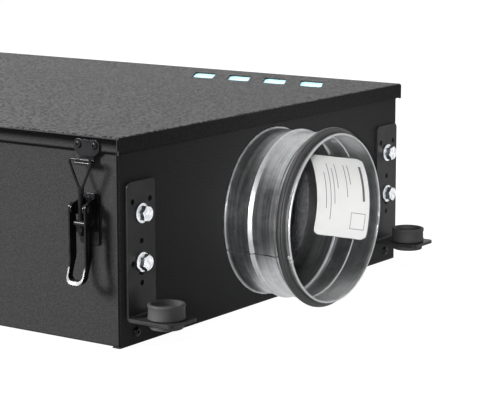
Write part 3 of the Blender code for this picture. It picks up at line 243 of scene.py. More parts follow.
def shades(tree, shader, value, dark, light, low=0.35, high=0.65):
    """Colour that runs from dark to light with a value."""
    ramp = add(tree, "ShaderNodeValToRGB", None, {"Fac": value})
    ramp.color_ramp.elements[0].position = low
    ramp.color_ramp.elements[1].position = high
    ramp.color_ramp.elements[0].color = (*dark, 1)
    ramp.color_ramp.elements[1].color = (*light, 1)
    tree.links.new(ramp.outputs[0], shader.inputs["Base Color"])
    return ramp.outputs[0]


def gloss_range(tree, shader, value, low, high):
    """Roughness that varies with a value."""
    spread = add(tree, "ShaderNodeMapRange", None,
                 {"Value": value, "From Min": 0.3, "From Max": 0.7, "To Min": low, "To Max": high})
    tree.links.new(spread.outputs[0], shader.inputs["Roughness"])


def relief(tree, shader, value, depth, strength=1.0):
    """Bump of the given depth in metres."""
    bump = add(tree, "ShaderNodeBump", None, {"Height": value, "Distance": depth, "Strength": strength})
    tree.links.new(bump.outputs[0], shader.inputs["Normal"])


# %% [markdown]
# ### Coated steel
# Powder coat bakes into a fine pebbled skin, so its grain is both relief and speckle. The brackets have
# a thinner satin coat, and the latches a glossy one with a slight orange peel.

# %% Coated steel
def powder_coat(name, scale, dark, light, spread, shine):
    """Fine-textured black powder coat; a smaller spread gives harder speckle."""
    made, tree, shader, place = start_finish(name, light, 0.6, 0.0, Specular_IOR_Level=shine)
    fine = grain(tree, place, scale, 3.0)
    shades(tree, shader, fine, dark, light, 0.5 - spread, 0.5 + spread)
    gloss_range(tree, shader, fine, 0.50, 0.68)
    relief(tree, shader, fine, 0.08 * MM, 0.5)
    return made


def satin_coat():
    """Thin satin black coat on the brackets."""
    made, tree, shader, place = start_finish(
        "bracket_satin_coat", (0.016, 0.016, 0.017), 0.42, 0.0, Specular_IOR_Level=0.18)
    fine = grain(tree, place, 900, 2.0)
    shades(tree, shader, grain(tree, place, 40, 3.0), (0.013, 0.013, 0.014), (0.021, 0.021, 0.022))
    gloss_range(tree, shader, grain(tree, place, 60, 2.0), 0.34, 0.48)
    relief(tree, shader, fine, 0.12 * MM, 0.35)
    return made


def gloss_coat():
    """Glossy black coat on the latches and the small screws."""
    made, tree, shader, place = start_finish(
        "latch_gloss_coat", (0.006, 0.006, 0.007), 0.16, 0.0, Specular_IOR_Level=0.12)
    shades(tree, shader, grain(tree, place, 70, 2.0), (0.004, 0.004, 0.005), (0.010, 0.010, 0.011))
    gloss_range(tree, shader, grain(tree, place, 120, 2.0), 0.12, 0.24)
    relief(tree, shader, grain(tree, place, 380, 1.0), 0.1 * MM, 0.25)
    return made


# %% [markdown]
# ### Bare metal
# The spigots are rolled from galvanised strip: zinc spangle, and fine lines that run round the duct
# where the bead rollers dragged. The bolts are bright zinc plate.

# %% Bare metal


def galvanised(name, stretch, dark, light):
    """Galvanised sheet with spangle and rolling lines across the stretched axis."""
    made, tree, shader, place = start_finish(name, light, 0.3, 1.0)
    cells = add(tree, "ShaderNodeTexVoronoi", None, {"Vector": place, "Scale": 170.0}).outputs["Color"]
    spangle = add(tree, "ShaderNodeSeparateColor", None, {0: cells}).outputs[0]
    lines = grain(tree, place, 1.0, 4.0, stretch)
    cloud = grain(tree, place, 26, 3.0)
    mixed = maths(tree, "ADD", maths(tree, "MULTIPLY", lines, 0.6), maths(tree, "MULTIPLY", cloud, 0.3))
    mixed = maths(tree, "ADD", mixed, maths(tree, "MULTIPLY", spangle, 0.10))
    shades(tree, shader, mixed, dark, light, 0.25, 0.75)
    gloss_range(tree, shader, mixed, 0.30, 0.42)
    relief(tree, shader, lines, 0.03 * MM, 0.20)
    return made


def zinc_plate():
    """Bright zinc plate on the bolts."""
    made, tree, shader, place = start_finish("bolt_zinc_plate", (0.80, 0.82, 0.84), 0.2, 1.0)
    cloud = grain(tree, place, 240, 3.0)
    shades(tree, shader, cloud, (0.55, 0.58, 0.62), (0.90, 0.91, 0.92))
    gloss_range(tree, shader, cloud, 0.14, 0.30)
    relief(tree, shader, grain(tree, place, 900, 2.0), 0.05 * MM, 0.3)
    return made


# %% [markdown]
# ### Rubber, foam and plastic
# Soft and moulded materials differ mostly in roughness and in the size of their grain.

# %% Rubber, foam and plastic


def plain(name, colour, spread, roughness, scale, depth, **sockets):
    """Moulded or woven material: a colour that varies a little, and one grain."""
    made, tree, shader, place = start_finish(name, colour, roughness, 0.0, **sockets)
    fine = grain(tree, place, scale, 3.0)
    dark = tuple(c * (1 - spread) for c in colour)
    light = tuple(c * (1 + spread) for c in colour)
    shades(tree, shader, grain(tree, place, scale / 12, 3.0), dark, light, 0.3, 0.7)
    gloss_range(tree, shader, fine, roughness * 0.88, min(1.0, roughness * 1.12))
    relief(tree, shader, fine, depth, 0.4)
    return made


def foam():
    """Bead foam: rounded cells pressed against each other, with painted shade in the grooves between them."""
    made, tree, shader, place = start_finish("bead_foam", (0.11, 0.11, 0.12), 0.95, 0.0,
                                             Specular_IOR_Level=0.2)
    cells = add(tree, "ShaderNodeTexVoronoi", None, {"Vector": place, "Scale": 330.0}).outputs["Distance"]
    # Lighter at each cell's middle, darker towards its edges: painted shade in the grooves between beads.
    shades(tree, shader, cells, (0.13, 0.13, 0.14), (0.075, 0.075, 0.08), 0.1, 0.7)
    relief(tree, shader, cells, -0.6 * MM, 0.6)
    return made


def circuit():
    """Solder-resist green with lighter traces."""
    made, tree, shader, place = start_finish("circuit_resist", (0.02, 0.18, 0.08), 0.35)
    scaled = add(tree, "ShaderNodeMapping", None, {"Vector": place, "Scale": (240, 420, 420)}).outputs[0]
    tracks = add(tree, "ShaderNodeTexBrick", None, {
        "Vector": scaled, "Scale": 1.0, "Mortar Size": 0.08,
        "Color1": (0.02, 0.17, 0.07, 1), "Color2": (0.03, 0.21, 0.09, 1), "Mortar": (0.12, 0.36, 0.16, 1)})
    tree.links.new(tracks.outputs[0], shader.inputs["Base Color"])
    relief(tree, shader, tracks.outputs[1], 0.05 * MM, 0.4)
    return made


# %% Make every finish
ROUND_LINES = (700, 7, 7)
SHEET_LINES = (30, 30, 600)
FINE_GRAIN = 900
COARSE_GRAIN = 330
FINISHES = {
    "casing": powder_coat(
        "casing_powder_coat", FINE_GRAIN, (0.018, 0.018, 0.0182), (0.034, 0.034, 0.0345), 0.12, 0.03),
    # The end panels take a lighter copy of the casing coat: painted light on the end faces, which the lamps
    # leave in shade.
    "end": powder_coat(
        "end_coat_painted_light", FINE_GRAIN, (0.027, 0.027, 0.0273), (0.051, 0.051, 0.052), 0.12, 0.03),
    # The lid's upward faces take a coarser, lighter and shinier coat: the coarse speckle stands for the
    # coat's grain, the lighter tone is painted sheen of light glancing off the top.
    "lid": powder_coat(
        "lid_top_coat_painted_sheen", COARSE_GRAIN, (0.012, 0.012, 0.0122), (0.062, 0.062, 0.063), 0.05, 0.08),
    "bracket": satin_coat(),
    "latch": gloss_coat(),
    "spigot": galvanised("spigot_galvanised", ROUND_LINES, (0.24, 0.245, 0.25), (0.60, 0.61, 0.62)),
    "sheet": galvanised("sheet_galvanised", SHEET_LINES, (0.42, 0.43, 0.435), (0.70, 0.71, 0.72)),
    "bolt": zinc_plate(),
    "rubber": plain("mount_rubber", (0.020, 0.020, 0.021), 0.25, 0.72, 700, 0.15 * MM),
    "seal": plain("seal_rubber", (0.026, 0.026, 0.027), 0.25, 0.58, 600, 0.12 * MM),
    "foam": foam(),
    "insert": plain("insert_sheet", (0.42, 0.78, 0.82), 0.06, 0.30, 300, 0.03 * MM),
    "cloth": plain("filter_cloth", (0.80, 0.81, 0.78), 0.06, 0.92, 1500, 0.25 * MM),
    "ceramic": plain("core_ceramic", (0.70, 0.67, 0.61), 0.08, 0.80, 900, 0.12 * MM),
    "black_plastic": plain("plastic_black", (0.022, 0.022, 0.024), 0.15, 0.45, 1300, 0.05 * MM),
    "grey_plastic": plain("plastic_grey", (0.42, 0.43, 0.44), 0.05, 0.48, 1300, 0.05 * MM),
    "orange_plastic": plain("plastic_orange", (0.72, 0.25, 0.04), 0.06, 0.45, 1300, 0.05 * MM),
    "circuit": circuit(),
    "paper": plain("label_paper", (0.82, 0.82, 0.81), 0.02, 0.38, 500, 0.02 * MM),
    "ink": plain("label_ink", (0.12, 0.12, 0.13), 0.10, 0.45, 800, 0.01 * MM),
}
print("finishes:", ", ".join(sorted(FINISHES)))

# %% [markdown]
# ## Finish the kept nodes
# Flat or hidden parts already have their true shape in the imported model, so they only take a finish.

# %% Finish the kept nodes
KEPT = {
    "foam_liner": "foam", "lid_liner": "foam", "lid_gasket": "rubber", "lid_insert": "insert",
    "fan_plate": "black_plastic", "fan_motor": "black_plastic", "fan_impeller": "grey_plastic",
    "damper_ring": "grey_plastic", "damper_blade": "sheet", "damper_actuator": "orange_plastic",
    "control_partition": "sheet", "control_box": "grey_plastic", "control_cover": "black_plastic",
    "circuit_board": "circuit", "cable_gland": "black_plastic",
    "heat_core": "ceramic", "filter_front": "cloth", "filter_rear": "cloth",
}
GROUPS = (
    ("lid", "casing"), ("tray", "casing"), ("end_panel", "casing"), ("spigot_seal", "seal"),
    ("spigot", "spigot"), ("bracket", "bracket"), ("bolt", "bolt"), ("mount", "rubber"),
    ("latch", "latch"), ("keeper", "latch"),
)


def node_finish(name):
    """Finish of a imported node, by its own name or by its group's."""
    if name in KEPT:
        return FINISHES[KEPT[name]]
    return next(FINISHES[finish] for start, finish in GROUPS if name.startswith(start))


for name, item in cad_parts.items():
    item.data.materials.clear()
    item.data.materials.append(node_finish(name))

# %% [markdown]
# ## Mesh helpers
# Sheet-metal parts are outlines with rounded bends, pushed along an axis. Round parts are profiles turned
# by a node tree. Both give plain meshes, so each piece ends as one object at the origin.


# %% Outlines
def rounded(points, radii, steps=5):
    """Outline with each corner replaced by an arc; radii is one value or one per corner."""
    count = len(points)
    if not isinstance(radii, (tuple, list)):
        radii = [radii] * count
    result = []
    for i, radius in enumerate(radii):
        corner = Vector(points[i])
        if radius <= 0:
            result.append(tuple(corner))
            continue
        before = (Vector(points[i - 1]) - corner).normalized()
        after = (Vector(points[(i + 1) % count]) - corner).normalized()
        half = before.angle(after) / 2
        centre = corner + (before + after).normalized() * (radius / math.sin(half))
        first = corner + before * (radius / math.tan(half)) - centre
        last = corner + after * (radius / math.tan(half)) - centre
        sweep = first.angle_signed(last)
        for step in range(steps + 1):
            result.append(tuple(centre + Matrix.Rotation(-sweep * step / steps, 2) @ first))
    return result


def bent_sheet(path, thick, radius):
    """Outline of a sheet folded along a path that turns left; the sheet lies on its left."""
    points = [Vector(p) for p in path]
    inner = []
    for i, point in enumerate(points):
        sides = [(points[j + 1] - points[j]).normalized() for j in (i - 1, i) if 0 <= j < len(points) - 1]
        normals = [Vector((-side.y, side.x)) for side in sides]
        middle = sum(normals, Vector((0, 0))).normalized()
        inner.append(point + middle * (thick / middle.dot(normals[0])))
    bends = [0] + [1] * (len(points) - 2) + [0]
    outside = rounded([tuple(p) for p in points], [radius * b for b in bends])
    inside = rounded([tuple(p) for p in inner], [max(radius - thick, 0) * b for b in bends])
    return outside + inside[::-1]


def circle(radius, centre=(0.0, 0.0), steps=32, start=0.0):
    """Points on a circle."""
    angles = [start + math.tau * i / steps for i in range(steps)]
    return [(centre[0] + radius * math.cos(a), centre[1] + radius * math.sin(a)) for a in angles]


def rectangle(low, high):
    """Corners of a rectangle."""
    return [(low[0], low[1]), (high[0], low[1]), (high[0], high[1]), (low[0], high[1])]


# %% Solids
TURNS = {
    "X": Matrix(((0, 0, 1), (1, 0, 0), (0, 1, 0))).to_4x4(),
    "Y": Matrix(((1, 0, 0), (0, 0, 1), (0, 1, 0))).to_4x4(),
    "Z": Matrix.Identity(4),
}


def closed(bm):
    """Mesh from a bmesh, doubles merged and faces turned outwards."""
    bmesh.ops.remove_doubles(bm, verts=bm.verts, dist=1e-7)
    bmesh.ops.recalc_face_normals(bm, faces=bm.faces)
    mesh = bpy.data.meshes.new("shape")
    bm.to_mesh(mesh)
    bm.free()
    return mesh


def prism(outline, axis, low, high):
    """Outline pushed along an axis from low to high."""
    bm = bmesh.new()
    rings = [[bm.verts.new(TURNS[axis] @ Vector((u, v, level))) for u, v in outline] for level in (low, high)]
    bm.faces.new(rings[0])
    bm.faces.new(rings[1])
    for i in range(len(outline)):
        j = (i + 1) % len(outline)
        bm.faces.new((rings[0][i], rings[0][j], rings[1][j], rings[1][i]))
    return closed(bm)


def block(low, high):
    """Box between two corners."""
    return prism(rectangle(low, high), "Z", low[2], high[2])


def merged(*meshes):
    """Several meshes as one."""
    bm = bmesh.new()
    for mesh in meshes:
        bm.from_mesh(mesh)
    result = bpy.data.meshes.new("shape")
    bm.to_mesh(result)
    bm.free()
    return result


def moved(mesh, matrix):
    """Copy of a mesh, moved or turned."""
    copy = mesh.copy()
    copy.transform(matrix)
    return copy


def evaluated(mesh, add_modifiers):
    """Mesh after the modifiers that a function puts on it."""
    item = bpy.data.objects.new("work", mesh)
    bpy.context.scene.collection.objects.link(item)
    add_modifiers(item)
    result = bpy.data.meshes.new_from_object(item.evaluated_get(bpy.context.evaluated_depsgraph_get()))
    bpy.data.objects.remove(item)
    return result


def combined(mesh, other, operation="DIFFERENCE"):
    """Exact boolean of two meshes."""
    tool = bpy.data.objects.new("tool", other)
    bpy.context.scene.collection.objects.link(tool)

    def modify(item):
        boolean = item.modifiers.new("boolean", "BOOLEAN")
        boolean.operation = operation
        boolean.object = tool

    result = evaluated(mesh, modify)
    bpy.data.objects.remove(tool)
    return result


def softened(mesh, width, segments=2):
    """Mesh with its sharp edges rounded off."""

    def modify(item):
        bevel = item.modifiers.new("bevel", "BEVEL")
        bevel.width = width
        bevel.segments = segments
        bevel.limit_method = "ANGLE"
        bevel.angle_limit = math.radians(40)
        bevel.use_clamp_overlap = True

    return evaluated(mesh, modify)


def flat_faced(item):
    """Large faces keep their own direction, so only the bends are shaded round."""
    normals = item.modifiers.new("normals", "WEIGHTED_NORMAL")
    normals.keep_sharp = True


def piece(name, mesh, finish, body, slot, *replaced, sharp=38):
    """Finished piece: one object at the origin that rides on a body."""
    mesh.materials.clear()
    mesh.materials.append(FINISHES[finish])
    mesh.polygons.foreach_set("material_index", [0] * len(mesh.polygons))
    mesh.shade_smooth()
    mesh.set_sharp_from_angle(angle=math.radians(sharp))
    mesh = evaluated(mesh, flat_faced)
    mesh.name = name
    item = bpy.data.objects.new(name, mesh)
    bpy.context.scene.collection.objects.link(item)
    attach(item, body)
    if replaced:
        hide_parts(*replaced)
    print(f"{name}: {len(mesh.polygons)} faces on {body}")
    return item


# %% [markdown]
# ## Geometry node trees
# Three shapes repeat all over the unit, and each has a rule. Round parts are one profile turned round an
# axis, fasteners are one part set out at several places, and the core's cells are rows of slats. A tree
# holds each rule, with its sizes as named inputs.


# %% Tree helpers
def new_tree(name, inputs):
    """Geometry node tree with a geometry input and the given named inputs."""
    tree = bpy.data.node_groups.new(name, "GeometryNodeTree")
    tree.interface.new_socket("Geometry", in_out="INPUT", socket_type="NodeSocketGeometry")
    for label, kind in inputs.items():
        tree.interface.new_socket(label, in_out="INPUT", socket_type="NodeSocket" + kind)
    tree.interface.new_socket("Geometry", in_out="OUTPUT", socket_type="NodeSocketGeometry")
    return tree, add(tree, "NodeGroupInput").outputs


def end_tree(tree, geometry, material):
    """Close a tree with real geometry and its material."""
    real = add(tree, "GeometryNodeRealizeInstances", None, {0: geometry}).outputs[0]
    coated = add(tree, "GeometryNodeSetMaterial", None, {"Geometry": real, "Material": material}).outputs[0]
    add(tree, "NodeGroupOutput", None, {0: coated})
    return tree


def run_tree(tree, mesh, values):
    """Plain mesh that a tree makes from a mesh and from values for its named inputs."""

    def modify(item):
        modifier = item.modifiers.new("tree", "NODES")
        modifier.node_group = tree
        for socket in tree.interface.items_tree:
            if socket.in_out == "INPUT" and socket.name in values:
                modifier[socket.identifier] = values[socket.name]

    return evaluated(mesh, modify)


# %% Turned tree
LAP_FOOT = 0.9993  # share of the turn at which the lap's step stands


def turned_tree():
    """Turns a closed profile round X; the last step can rise by a lap height, as a seam in rolled strip."""
    tree, given = new_tree("turned_profile", {
        "Points": "Int", "Steps": "Int", "Lap Height": "Float", "Lap Spread": "Float", "Seam Angle": "Float",
        "Material": "Material"})
    grid = add(tree, "GeometryNodeMeshGrid", None, {
        "Size X": given["Points"], "Size Y": 1.0,
        "Vertices X": maths(tree, "ADD", given["Points"], 1),
        "Vertices Y": maths(tree, "ADD", given["Steps"], 1)})
    position = add(tree, "GeometryNodeInputPosition").outputs[0]
    across = add(tree, "ShaderNodeSeparateXYZ", None, {0: position})
    along = maths(tree, "ADD", across.outputs[0], maths(tree, "DIVIDE", given["Points"], 2.0))
    index = maths(tree, "MODULO", maths(tree, "ROUND", along), given["Points"])
    profile = add(tree, "GeometryNodeSampleIndex", {"data_type": "FLOAT_VECTOR"}, {
        "Geometry": given["Geometry"], "Value": position, "Index": index})
    place = add(tree, "ShaderNodeSeparateXYZ", None, {0: profile.outputs[0]})
    turn = maths(tree, "ADD", across.outputs[1], 0.5)
    half_step = maths(tree, "DIVIDE", 0.5, given["Steps"])
    last = maths(tree, "GREATER_THAN", turn, maths(tree, "SUBTRACT", 1.0, half_step))
    shrink = maths(tree, "DIVIDE", given["Steps"], maths(tree, "SUBTRACT", given["Steps"], 1.0))
    part = maths(tree, "MULTIPLY", maths(tree, "MULTIPLY", turn, shrink), LAP_FOOT)
    part = maths(tree, "MAXIMUM", last, maths(tree, "MINIMUM", part, LAP_FOOT))
    fallen = maths(tree, "DIVIDE", part, given["Lap Spread"])
    fade = maths(tree, "MAXIMUM", maths(tree, "SUBTRACT", 1.0, fallen), last)
    radius = maths(tree, "ADD", place.outputs[1], maths(tree, "MULTIPLY", fade, given["Lap Height"]))
    angle = maths(tree, "ADD", maths(tree, "MULTIPLY", part, math.tau), given["Seam Angle"])
    y = maths(tree, "MULTIPLY", radius, maths(tree, "COSINE", angle))
    z = maths(tree, "MULTIPLY", radius, maths(tree, "SINE", angle))
    point = add(tree, "ShaderNodeCombineXYZ", None, {0: place.outputs[0], 1: y, 2: z}).outputs[0]
    shaped = add(tree, "GeometryNodeSetPosition", None, {"Geometry": grid.outputs[0], "Position": point})
    joined = add(tree, "GeometryNodeMergeByDistance", None, {"Geometry": shaped.outputs[0], "Distance": 1e-6})
    return end_tree(tree, joined.outputs[0], given["Material"])


TURNED = turned_tree()


def turned(profile, centre=(0, 0, 0), axis="X", steps=64, lap=(0.0, 1.0, 0.0)):
    """Closed profile of (along, radius) points turned round an axis through centre."""
    mesh = bpy.data.meshes.new("profile")
    mesh.from_pydata([(x, r, 0) for x, r in profile], [], [])
    height, spread, angle = lap
    made = run_tree(TURNED, mesh, {
        "Points": len(profile), "Steps": steps,
        "Lap Height": height, "Lap Spread": spread, "Seam Angle": angle})
    if axis == "Z":
        made.transform(Matrix.Rotation(-math.pi / 2, 4, "Y"))
    made.transform(Matrix.Translation(centre))
    bm = bmesh.new()
    bm.from_mesh(made)
    bmesh.ops.dissolve_degenerate(bm, edges=bm.edges, dist=1e-7)
    return closed(bm)


# %% Set-out tree
def set_out_tree():
    """Puts one part at every point, turned by the point's own angles."""
    tree, given = new_tree("set_out", {"Part": "Object", "Size": "Float", "Material": "Material"})
    part = add(tree, "GeometryNodeObjectInfo", None, {"Object": given["Part"]}).outputs["Geometry"]
    angles = add(tree, "GeometryNodeInputNamedAttribute", {"data_type": "FLOAT_VECTOR"}, {"Name": "turn"})
    rotation = add(tree, "FunctionNodeEulerToRotation", None, {0: angles.outputs[0]}).outputs[0]
    copies = add(tree, "GeometryNodeInstanceOnPoints", None, {
        "Points": given["Geometry"], "Instance": part, "Rotation": rotation, "Scale": given["Size"]})
    return end_tree(tree, copies.outputs[0], given["Material"])


SET_OUT = set_out_tree()


def set_out(mesh, places, size=1.0):
    """One mesh that holds a copy of a part at each (location, angles)."""
    part = bpy.data.objects.new("part", mesh)
    bpy.context.scene.collection.objects.link(part)
    points = bpy.data.meshes.new("points")
    points.from_pydata([tuple(location) for location, _ in places], [], [])
    angles = points.attributes.new("turn", "FLOAT_VECTOR", "POINT")
    for value, (_, turn) in zip(angles.data, places):
        value.vector = turn
    made = run_tree(SET_OUT, points, {"Part": part, "Size": size})
    bpy.data.objects.remove(part)
    return made


# %% Slat tree
def slat_tree():
    """Row of equal slats, set out by a count and a step."""
    tree, given = new_tree("slats", {
        "Count": "Int", "Start": "Vector", "Step": "Vector", "Slat": "Vector", "Material": "Material"})
    row = add(tree, "GeometryNodeMeshLine", None, {
        "Count": given["Count"], "Start Location": given["Start"], "Offset": given["Step"]}).outputs[0]
    slat = add(tree, "GeometryNodeMeshCube", None, {"Size": given["Slat"]}).outputs[0]
    copies = add(tree, "GeometryNodeInstanceOnPoints", None, {"Points": row, "Instance": slat}).outputs[0]
    return end_tree(tree, copies, given["Material"])


SLATS = slat_tree()


def slats(count, start, step, size):
    """Mesh of a row of slats."""
    values = {"Count": count, "Start": tuple(start), "Step": tuple(step), "Slat": tuple(size)}
    return run_tree(SLATS, bpy.data.meshes.new("row"), values)


# %% [markdown]
# ## Folded casing
# The real casing is cut flat and folded, so its edges are bends and its corners are open slits, not
# moulded blocks. A pan with four flanges serves both the lid and the end panels; the tray is one long
# folded outline.


# %% Pan
BEND = 2.2 * MM
SLIT = 0.9 * MM


def pan(half_x, half_y, depth, bend):
    """Folded pan, open downwards, its top face at z = 0."""
    bm = bmesh.new()
    bmesh.ops.create_cube(bm, size=1, matrix=Matrix.Translation((0, 0, -depth / 2)) @ Matrix.Diagonal(
        (2 * half_x, 2 * half_y, depth, 1)))
    bmesh.ops.delete(bm, geom=[f for f in bm.faces if f.normal.z < -0.5], context="FACES_ONLY")
    rim = [e for e in bm.edges if all(v.co.z > -1e-6 for v in e.verts)]
    bmesh.ops.bevel(bm, geom=rim, offset=bend, segments=5, profile=0.5, affect="EDGES")
    mesh = bpy.data.meshes.new("pan")
    bm.to_mesh(mesh)
    bm.free()

    def modify(item):
        solid = item.modifiers.new("sheet", "SOLIDIFY")
        solid.thickness = SHEET
        solid.offset = -1
        solid.use_even_offset = True

    return evaluated(mesh, modify)


def corner_slits(half_x, half_y, depth, bend):
    """Cutters for the open corners between flanges, each with a rounded lower end."""
    cutters = []
    round_off = 3 * MM
    for x_sign in (-1, 1):
        for y_sign in (-1, 1):
            edge = half_x - 0.7 * MM
            slit = block((edge - SLIT, half_y - 2 * SHEET, -depth - MM), (edge, half_y + MM, -bend))
            arc = rounded(((half_y + MM, -depth - MM), (half_y + MM, -depth + round_off),
                           (half_y, -depth + round_off), (half_y, -depth), (half_y - round_off, -depth),
                           (half_y - round_off, -depth - MM)), (0, 0, 0, round_off * 0.96, 0, 0))
            nick = prism(arc, "X", half_x - SHEET - MM, half_x + MM)
            for cutter in (slit, nick):
                cutter.transform(Matrix.Diagonal((x_sign, y_sign, 1, 1)))
                if x_sign * y_sign < 0:
                    cutter.flip_normals()
                cutters.append(cutter)
    return merged(*cutters)


# %% Lid
LID_HALF_X = LID_HIGH.x
LID_HALF_Y = LID_HIGH.y
LID_DEPTH = LID_HIGH.z - LID_LOW.z
SLOT_COUNT = 4
SLOT_LENGTH = 28 * MM
SLOT_WIDTH = 41 * MM
SLOT_SLANT = 24 * MM
SLOT_PITCH = 47 * MM


def lid_slot(centre_x, centre_y):
    """Slanted opening with rounded corners."""
    half = SLOT_LENGTH / 2
    lean = SLOT_SLANT / 2
    depth = SLOT_WIDTH / 2
    corners = (
        (centre_x - half + lean, centre_y - depth),
        (centre_x + half + lean, centre_y - depth),
        (centre_x + half - lean, centre_y + depth),
        (centre_x - half - lean, centre_y + depth),
    )
    return prism(rounded(corners, 3 * MM), "Z", -3 * SHEET, SHEET)


def make_lid():
    """Lid pan with open corners and a row of slots over the coloured insert."""
    insert_low, insert_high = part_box("lid_insert")
    middle = (insert_low + insert_high) / 2
    first = middle.x - SLOT_PITCH * (SLOT_COUNT - 1) / 2
    slots = [lid_slot(first + SLOT_PITCH * i, middle.y) for i in range(SLOT_COUNT)]
    shell = pan(LID_HALF_X, LID_HALF_Y, LID_DEPTH, BEND)
    shell = combined(shell, merged(corner_slits(LID_HALF_X, LID_HALF_Y, LID_DEPTH, BEND), *slots))
    shell.transform(Matrix.Translation((0, 0, LID_HIGH.z)))
    made = piece("lid_shell", shell, "lid", "lid", "casing_powder", "lid")
    # Upward faces keep the lighter lid coat, a painted sheen on the top; the flanges take the casing coat.
    made.data.materials.append(FINISHES["casing"])
    for face in made.data.polygons:
        face.material_index = int(abs(face.normal.z) < 0.6)


make_lid()


# %% Tray and end panels
PANEL_FOOT = 10 * MM
PANEL_FLANGE = 15 * MM
TOP_FLANGE = 14 * MM
BORE_GAP = 0.6 * MM
BOLT_CLEAR = 4.3 * MM
GLAND_HOLE = 8.3 * MM


def make_tray():
    """Bottom and both sides, folded from one sheet."""
    side = TRAY_HIGH.y
    path = ((TOP_FLANGE - side, TRAY_HIGH.z), (-side, TRAY_HIGH.z), (-side, TRAY_LOW.z),
            (side, TRAY_LOW.z), (side, TRAY_HIGH.z), (side - TOP_FLANGE, TRAY_HIGH.z))
    tray = prism(bent_sheet(path, SHEET, BEND), "X", TRAY_LOW.x, TRAY_HIGH.x)
    piece("casing_tray", tray, "casing", "root", "casing_powder", "tray")


def through_end(radius, centre, steps):
    """Round cutter through the front end panel's sheet."""
    return prism(circle(radius, centre, steps), "X", CASE_X - 4 * SHEET, CASE_X + SHEET)


def panel_cutters():
    """The holes and the slot over the tray's floor as one cutter, the back of the foot as another."""
    half = (PANEL_HIGH.y - PANEL_LOW.y) / 2
    cutters = [through_end(DUCT_RADIUS + BORE_GAP, (0, DUCT_Z), 96)]
    for corner in ("front_left", "front_right"):
        for level in ("upper", "lower"):
            low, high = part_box(f"bolt_{corner}_{level}")
            middle = (low + high) / 2
            cutters.append(through_end(BOLT_CLEAR, (middle.y, middle.z), 24))
    inner = CASE_X - PANEL_FLANGE - MM
    floor_slot = (TRAY_HIGH.x + 0.3 * MM, half + MM, TRAY_LOW.z + 2 * SHEET)
    cutters.append(block((inner, -half - MM, SHEET), floor_slot))
    return merged(*cutters), block((inner, -half - MM, -MM), (CASE_X - PANEL_FOOT, half + MM, SHEET))


def make_panels():
    """Folded end pans, the rear one with the cable gland's hole."""
    height = PANEL_HIGH.z - PANEL_LOW.z
    shell = pan(height / 2, PANEL_HIGH.y, PANEL_FLANGE, BEND)
    shell.transform(Matrix.Translation((CASE_X, 0, height / 2)) @ Matrix.Rotation(math.pi / 2, 4, "Y"))
    for cutter in panel_cutters():
        shell = combined(shell, cutter)
    # Both end shells take the lighter end coat, painted light on their shaded faces.
    piece("end_panel_front_shell", shell, "end", "root", "casing_powder", "end_panel_front")
    rear = moved(shell, Matrix.Rotation(math.pi, 4, "Z"))
    gland_low, gland_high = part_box("cable_gland")
    gland = (gland_low + gland_high) / 2
    hole = prism(circle(GLAND_HOLE, (gland.y, gland.z), 32), "X", -CASE_X - SHEET, -CASE_X + 2 * SHEET)
    piece("end_panel_rear_shell", combined(rear, hole), "end", "root", "casing_powder", "end_panel_rear")


make_tray()
make_panels()

# %% [markdown]
# ## Duct spigots
# A spigot starts as a strip of galvanised sheet, rolled until its ends lap, then beaded: a tall bead
# stops the duct, a flat rib stiffens it, and the mouth is rolled over. The profile is exact arcs, and the
# turning tree adds the lap as a small step that fades round the ring.

# %% Spigot profile
BEAD_START = 26 * MM
BEAD_SHAPE = ((0, 0), (0.4, 0.7), (0.8, 1.5), (1.3, 1.95), (1.8, 2.1), (2.3, 2.0),
              (5.6, 0.22), (6.0, 0.08), (6.6, 0))
SEAM_WIDTH = 0.6 * MM
SEAM_DEPTH = 0.5 * MM
RIB_START = 49 * MM
RIB_END = 57 * MM
RIB_HEIGHT = 1.0 * MM
COLLAR_START = 0.3 * MM
COLLAR_THICK = 1.5 * MM
COLLAR_HEIGHT = 2.2 * MM
STEP_END = 9 * MM
STEP_HEIGHT = 0.5 * MM
RIM_RADIUS = 1.15 * MM
SEAM_ANGLE = math.radians(180 + 19.5)


def spigot_wall(offset):
    """Line of the wall from the collar to the rim, moved in by an offset, as (along, radius)."""
    radius = DUCT_RADIUS - offset
    points = [(CASE_X + COLLAR_START + COLLAR_THICK, radius + STEP_HEIGHT)]
    points += [(CASE_X + STEP_END, radius + STEP_HEIGHT), (CASE_X + STEP_END + 1.2 * MM, radius)]
    for along, rise in BEAD_SHAPE:
        points.append((CASE_X + BEAD_START + along * MM, radius + rise * MM))
    shoulder = 0.8 * MM
    points += [(CASE_X + RIB_START, radius), (CASE_X + RIB_START + shoulder, radius + RIB_HEIGHT)]
    points += [(CASE_X + RIB_END - shoulder, radius + RIB_HEIGHT), (CASE_X + RIB_END, radius)]
    return points


def spigot_profile():
    """Closed profile: collar, outer wall, rolled rim, and the inner wall back again."""
    end = SPIGOT_HIGH.x
    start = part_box("spigot_front")[0].x
    collar = DUCT_RADIUS + COLLAR_HEIGHT
    base = CASE_X + COLLAR_START
    points = [(start, DUCT_RADIUS), (base, DUCT_RADIUS), (base, collar - 0.3 * MM), (base + 0.3 * MM, collar)]
    points += [(base + COLLAR_THICK - 0.3 * MM, collar), (base + COLLAR_THICK, collar - 0.4 * MM)]
    points += spigot_wall(0)
    middle = (end - RIM_RADIUS, DUCT_RADIUS + 0.35 * MM)
    for step in range(13):
        angle = math.radians(200 - 250 * step / 12)
        points.append((middle[0] + RIM_RADIUS * math.cos(angle), middle[1] + RIM_RADIUS * math.sin(angle)))
    points.append((end - 3 * RIM_RADIUS, DUCT_RADIUS - DUCT_WALL))
    points += spigot_wall(DUCT_WALL)[::-1][:-3]
    return points + [(start, DUCT_RADIUS - DUCT_WALL)]


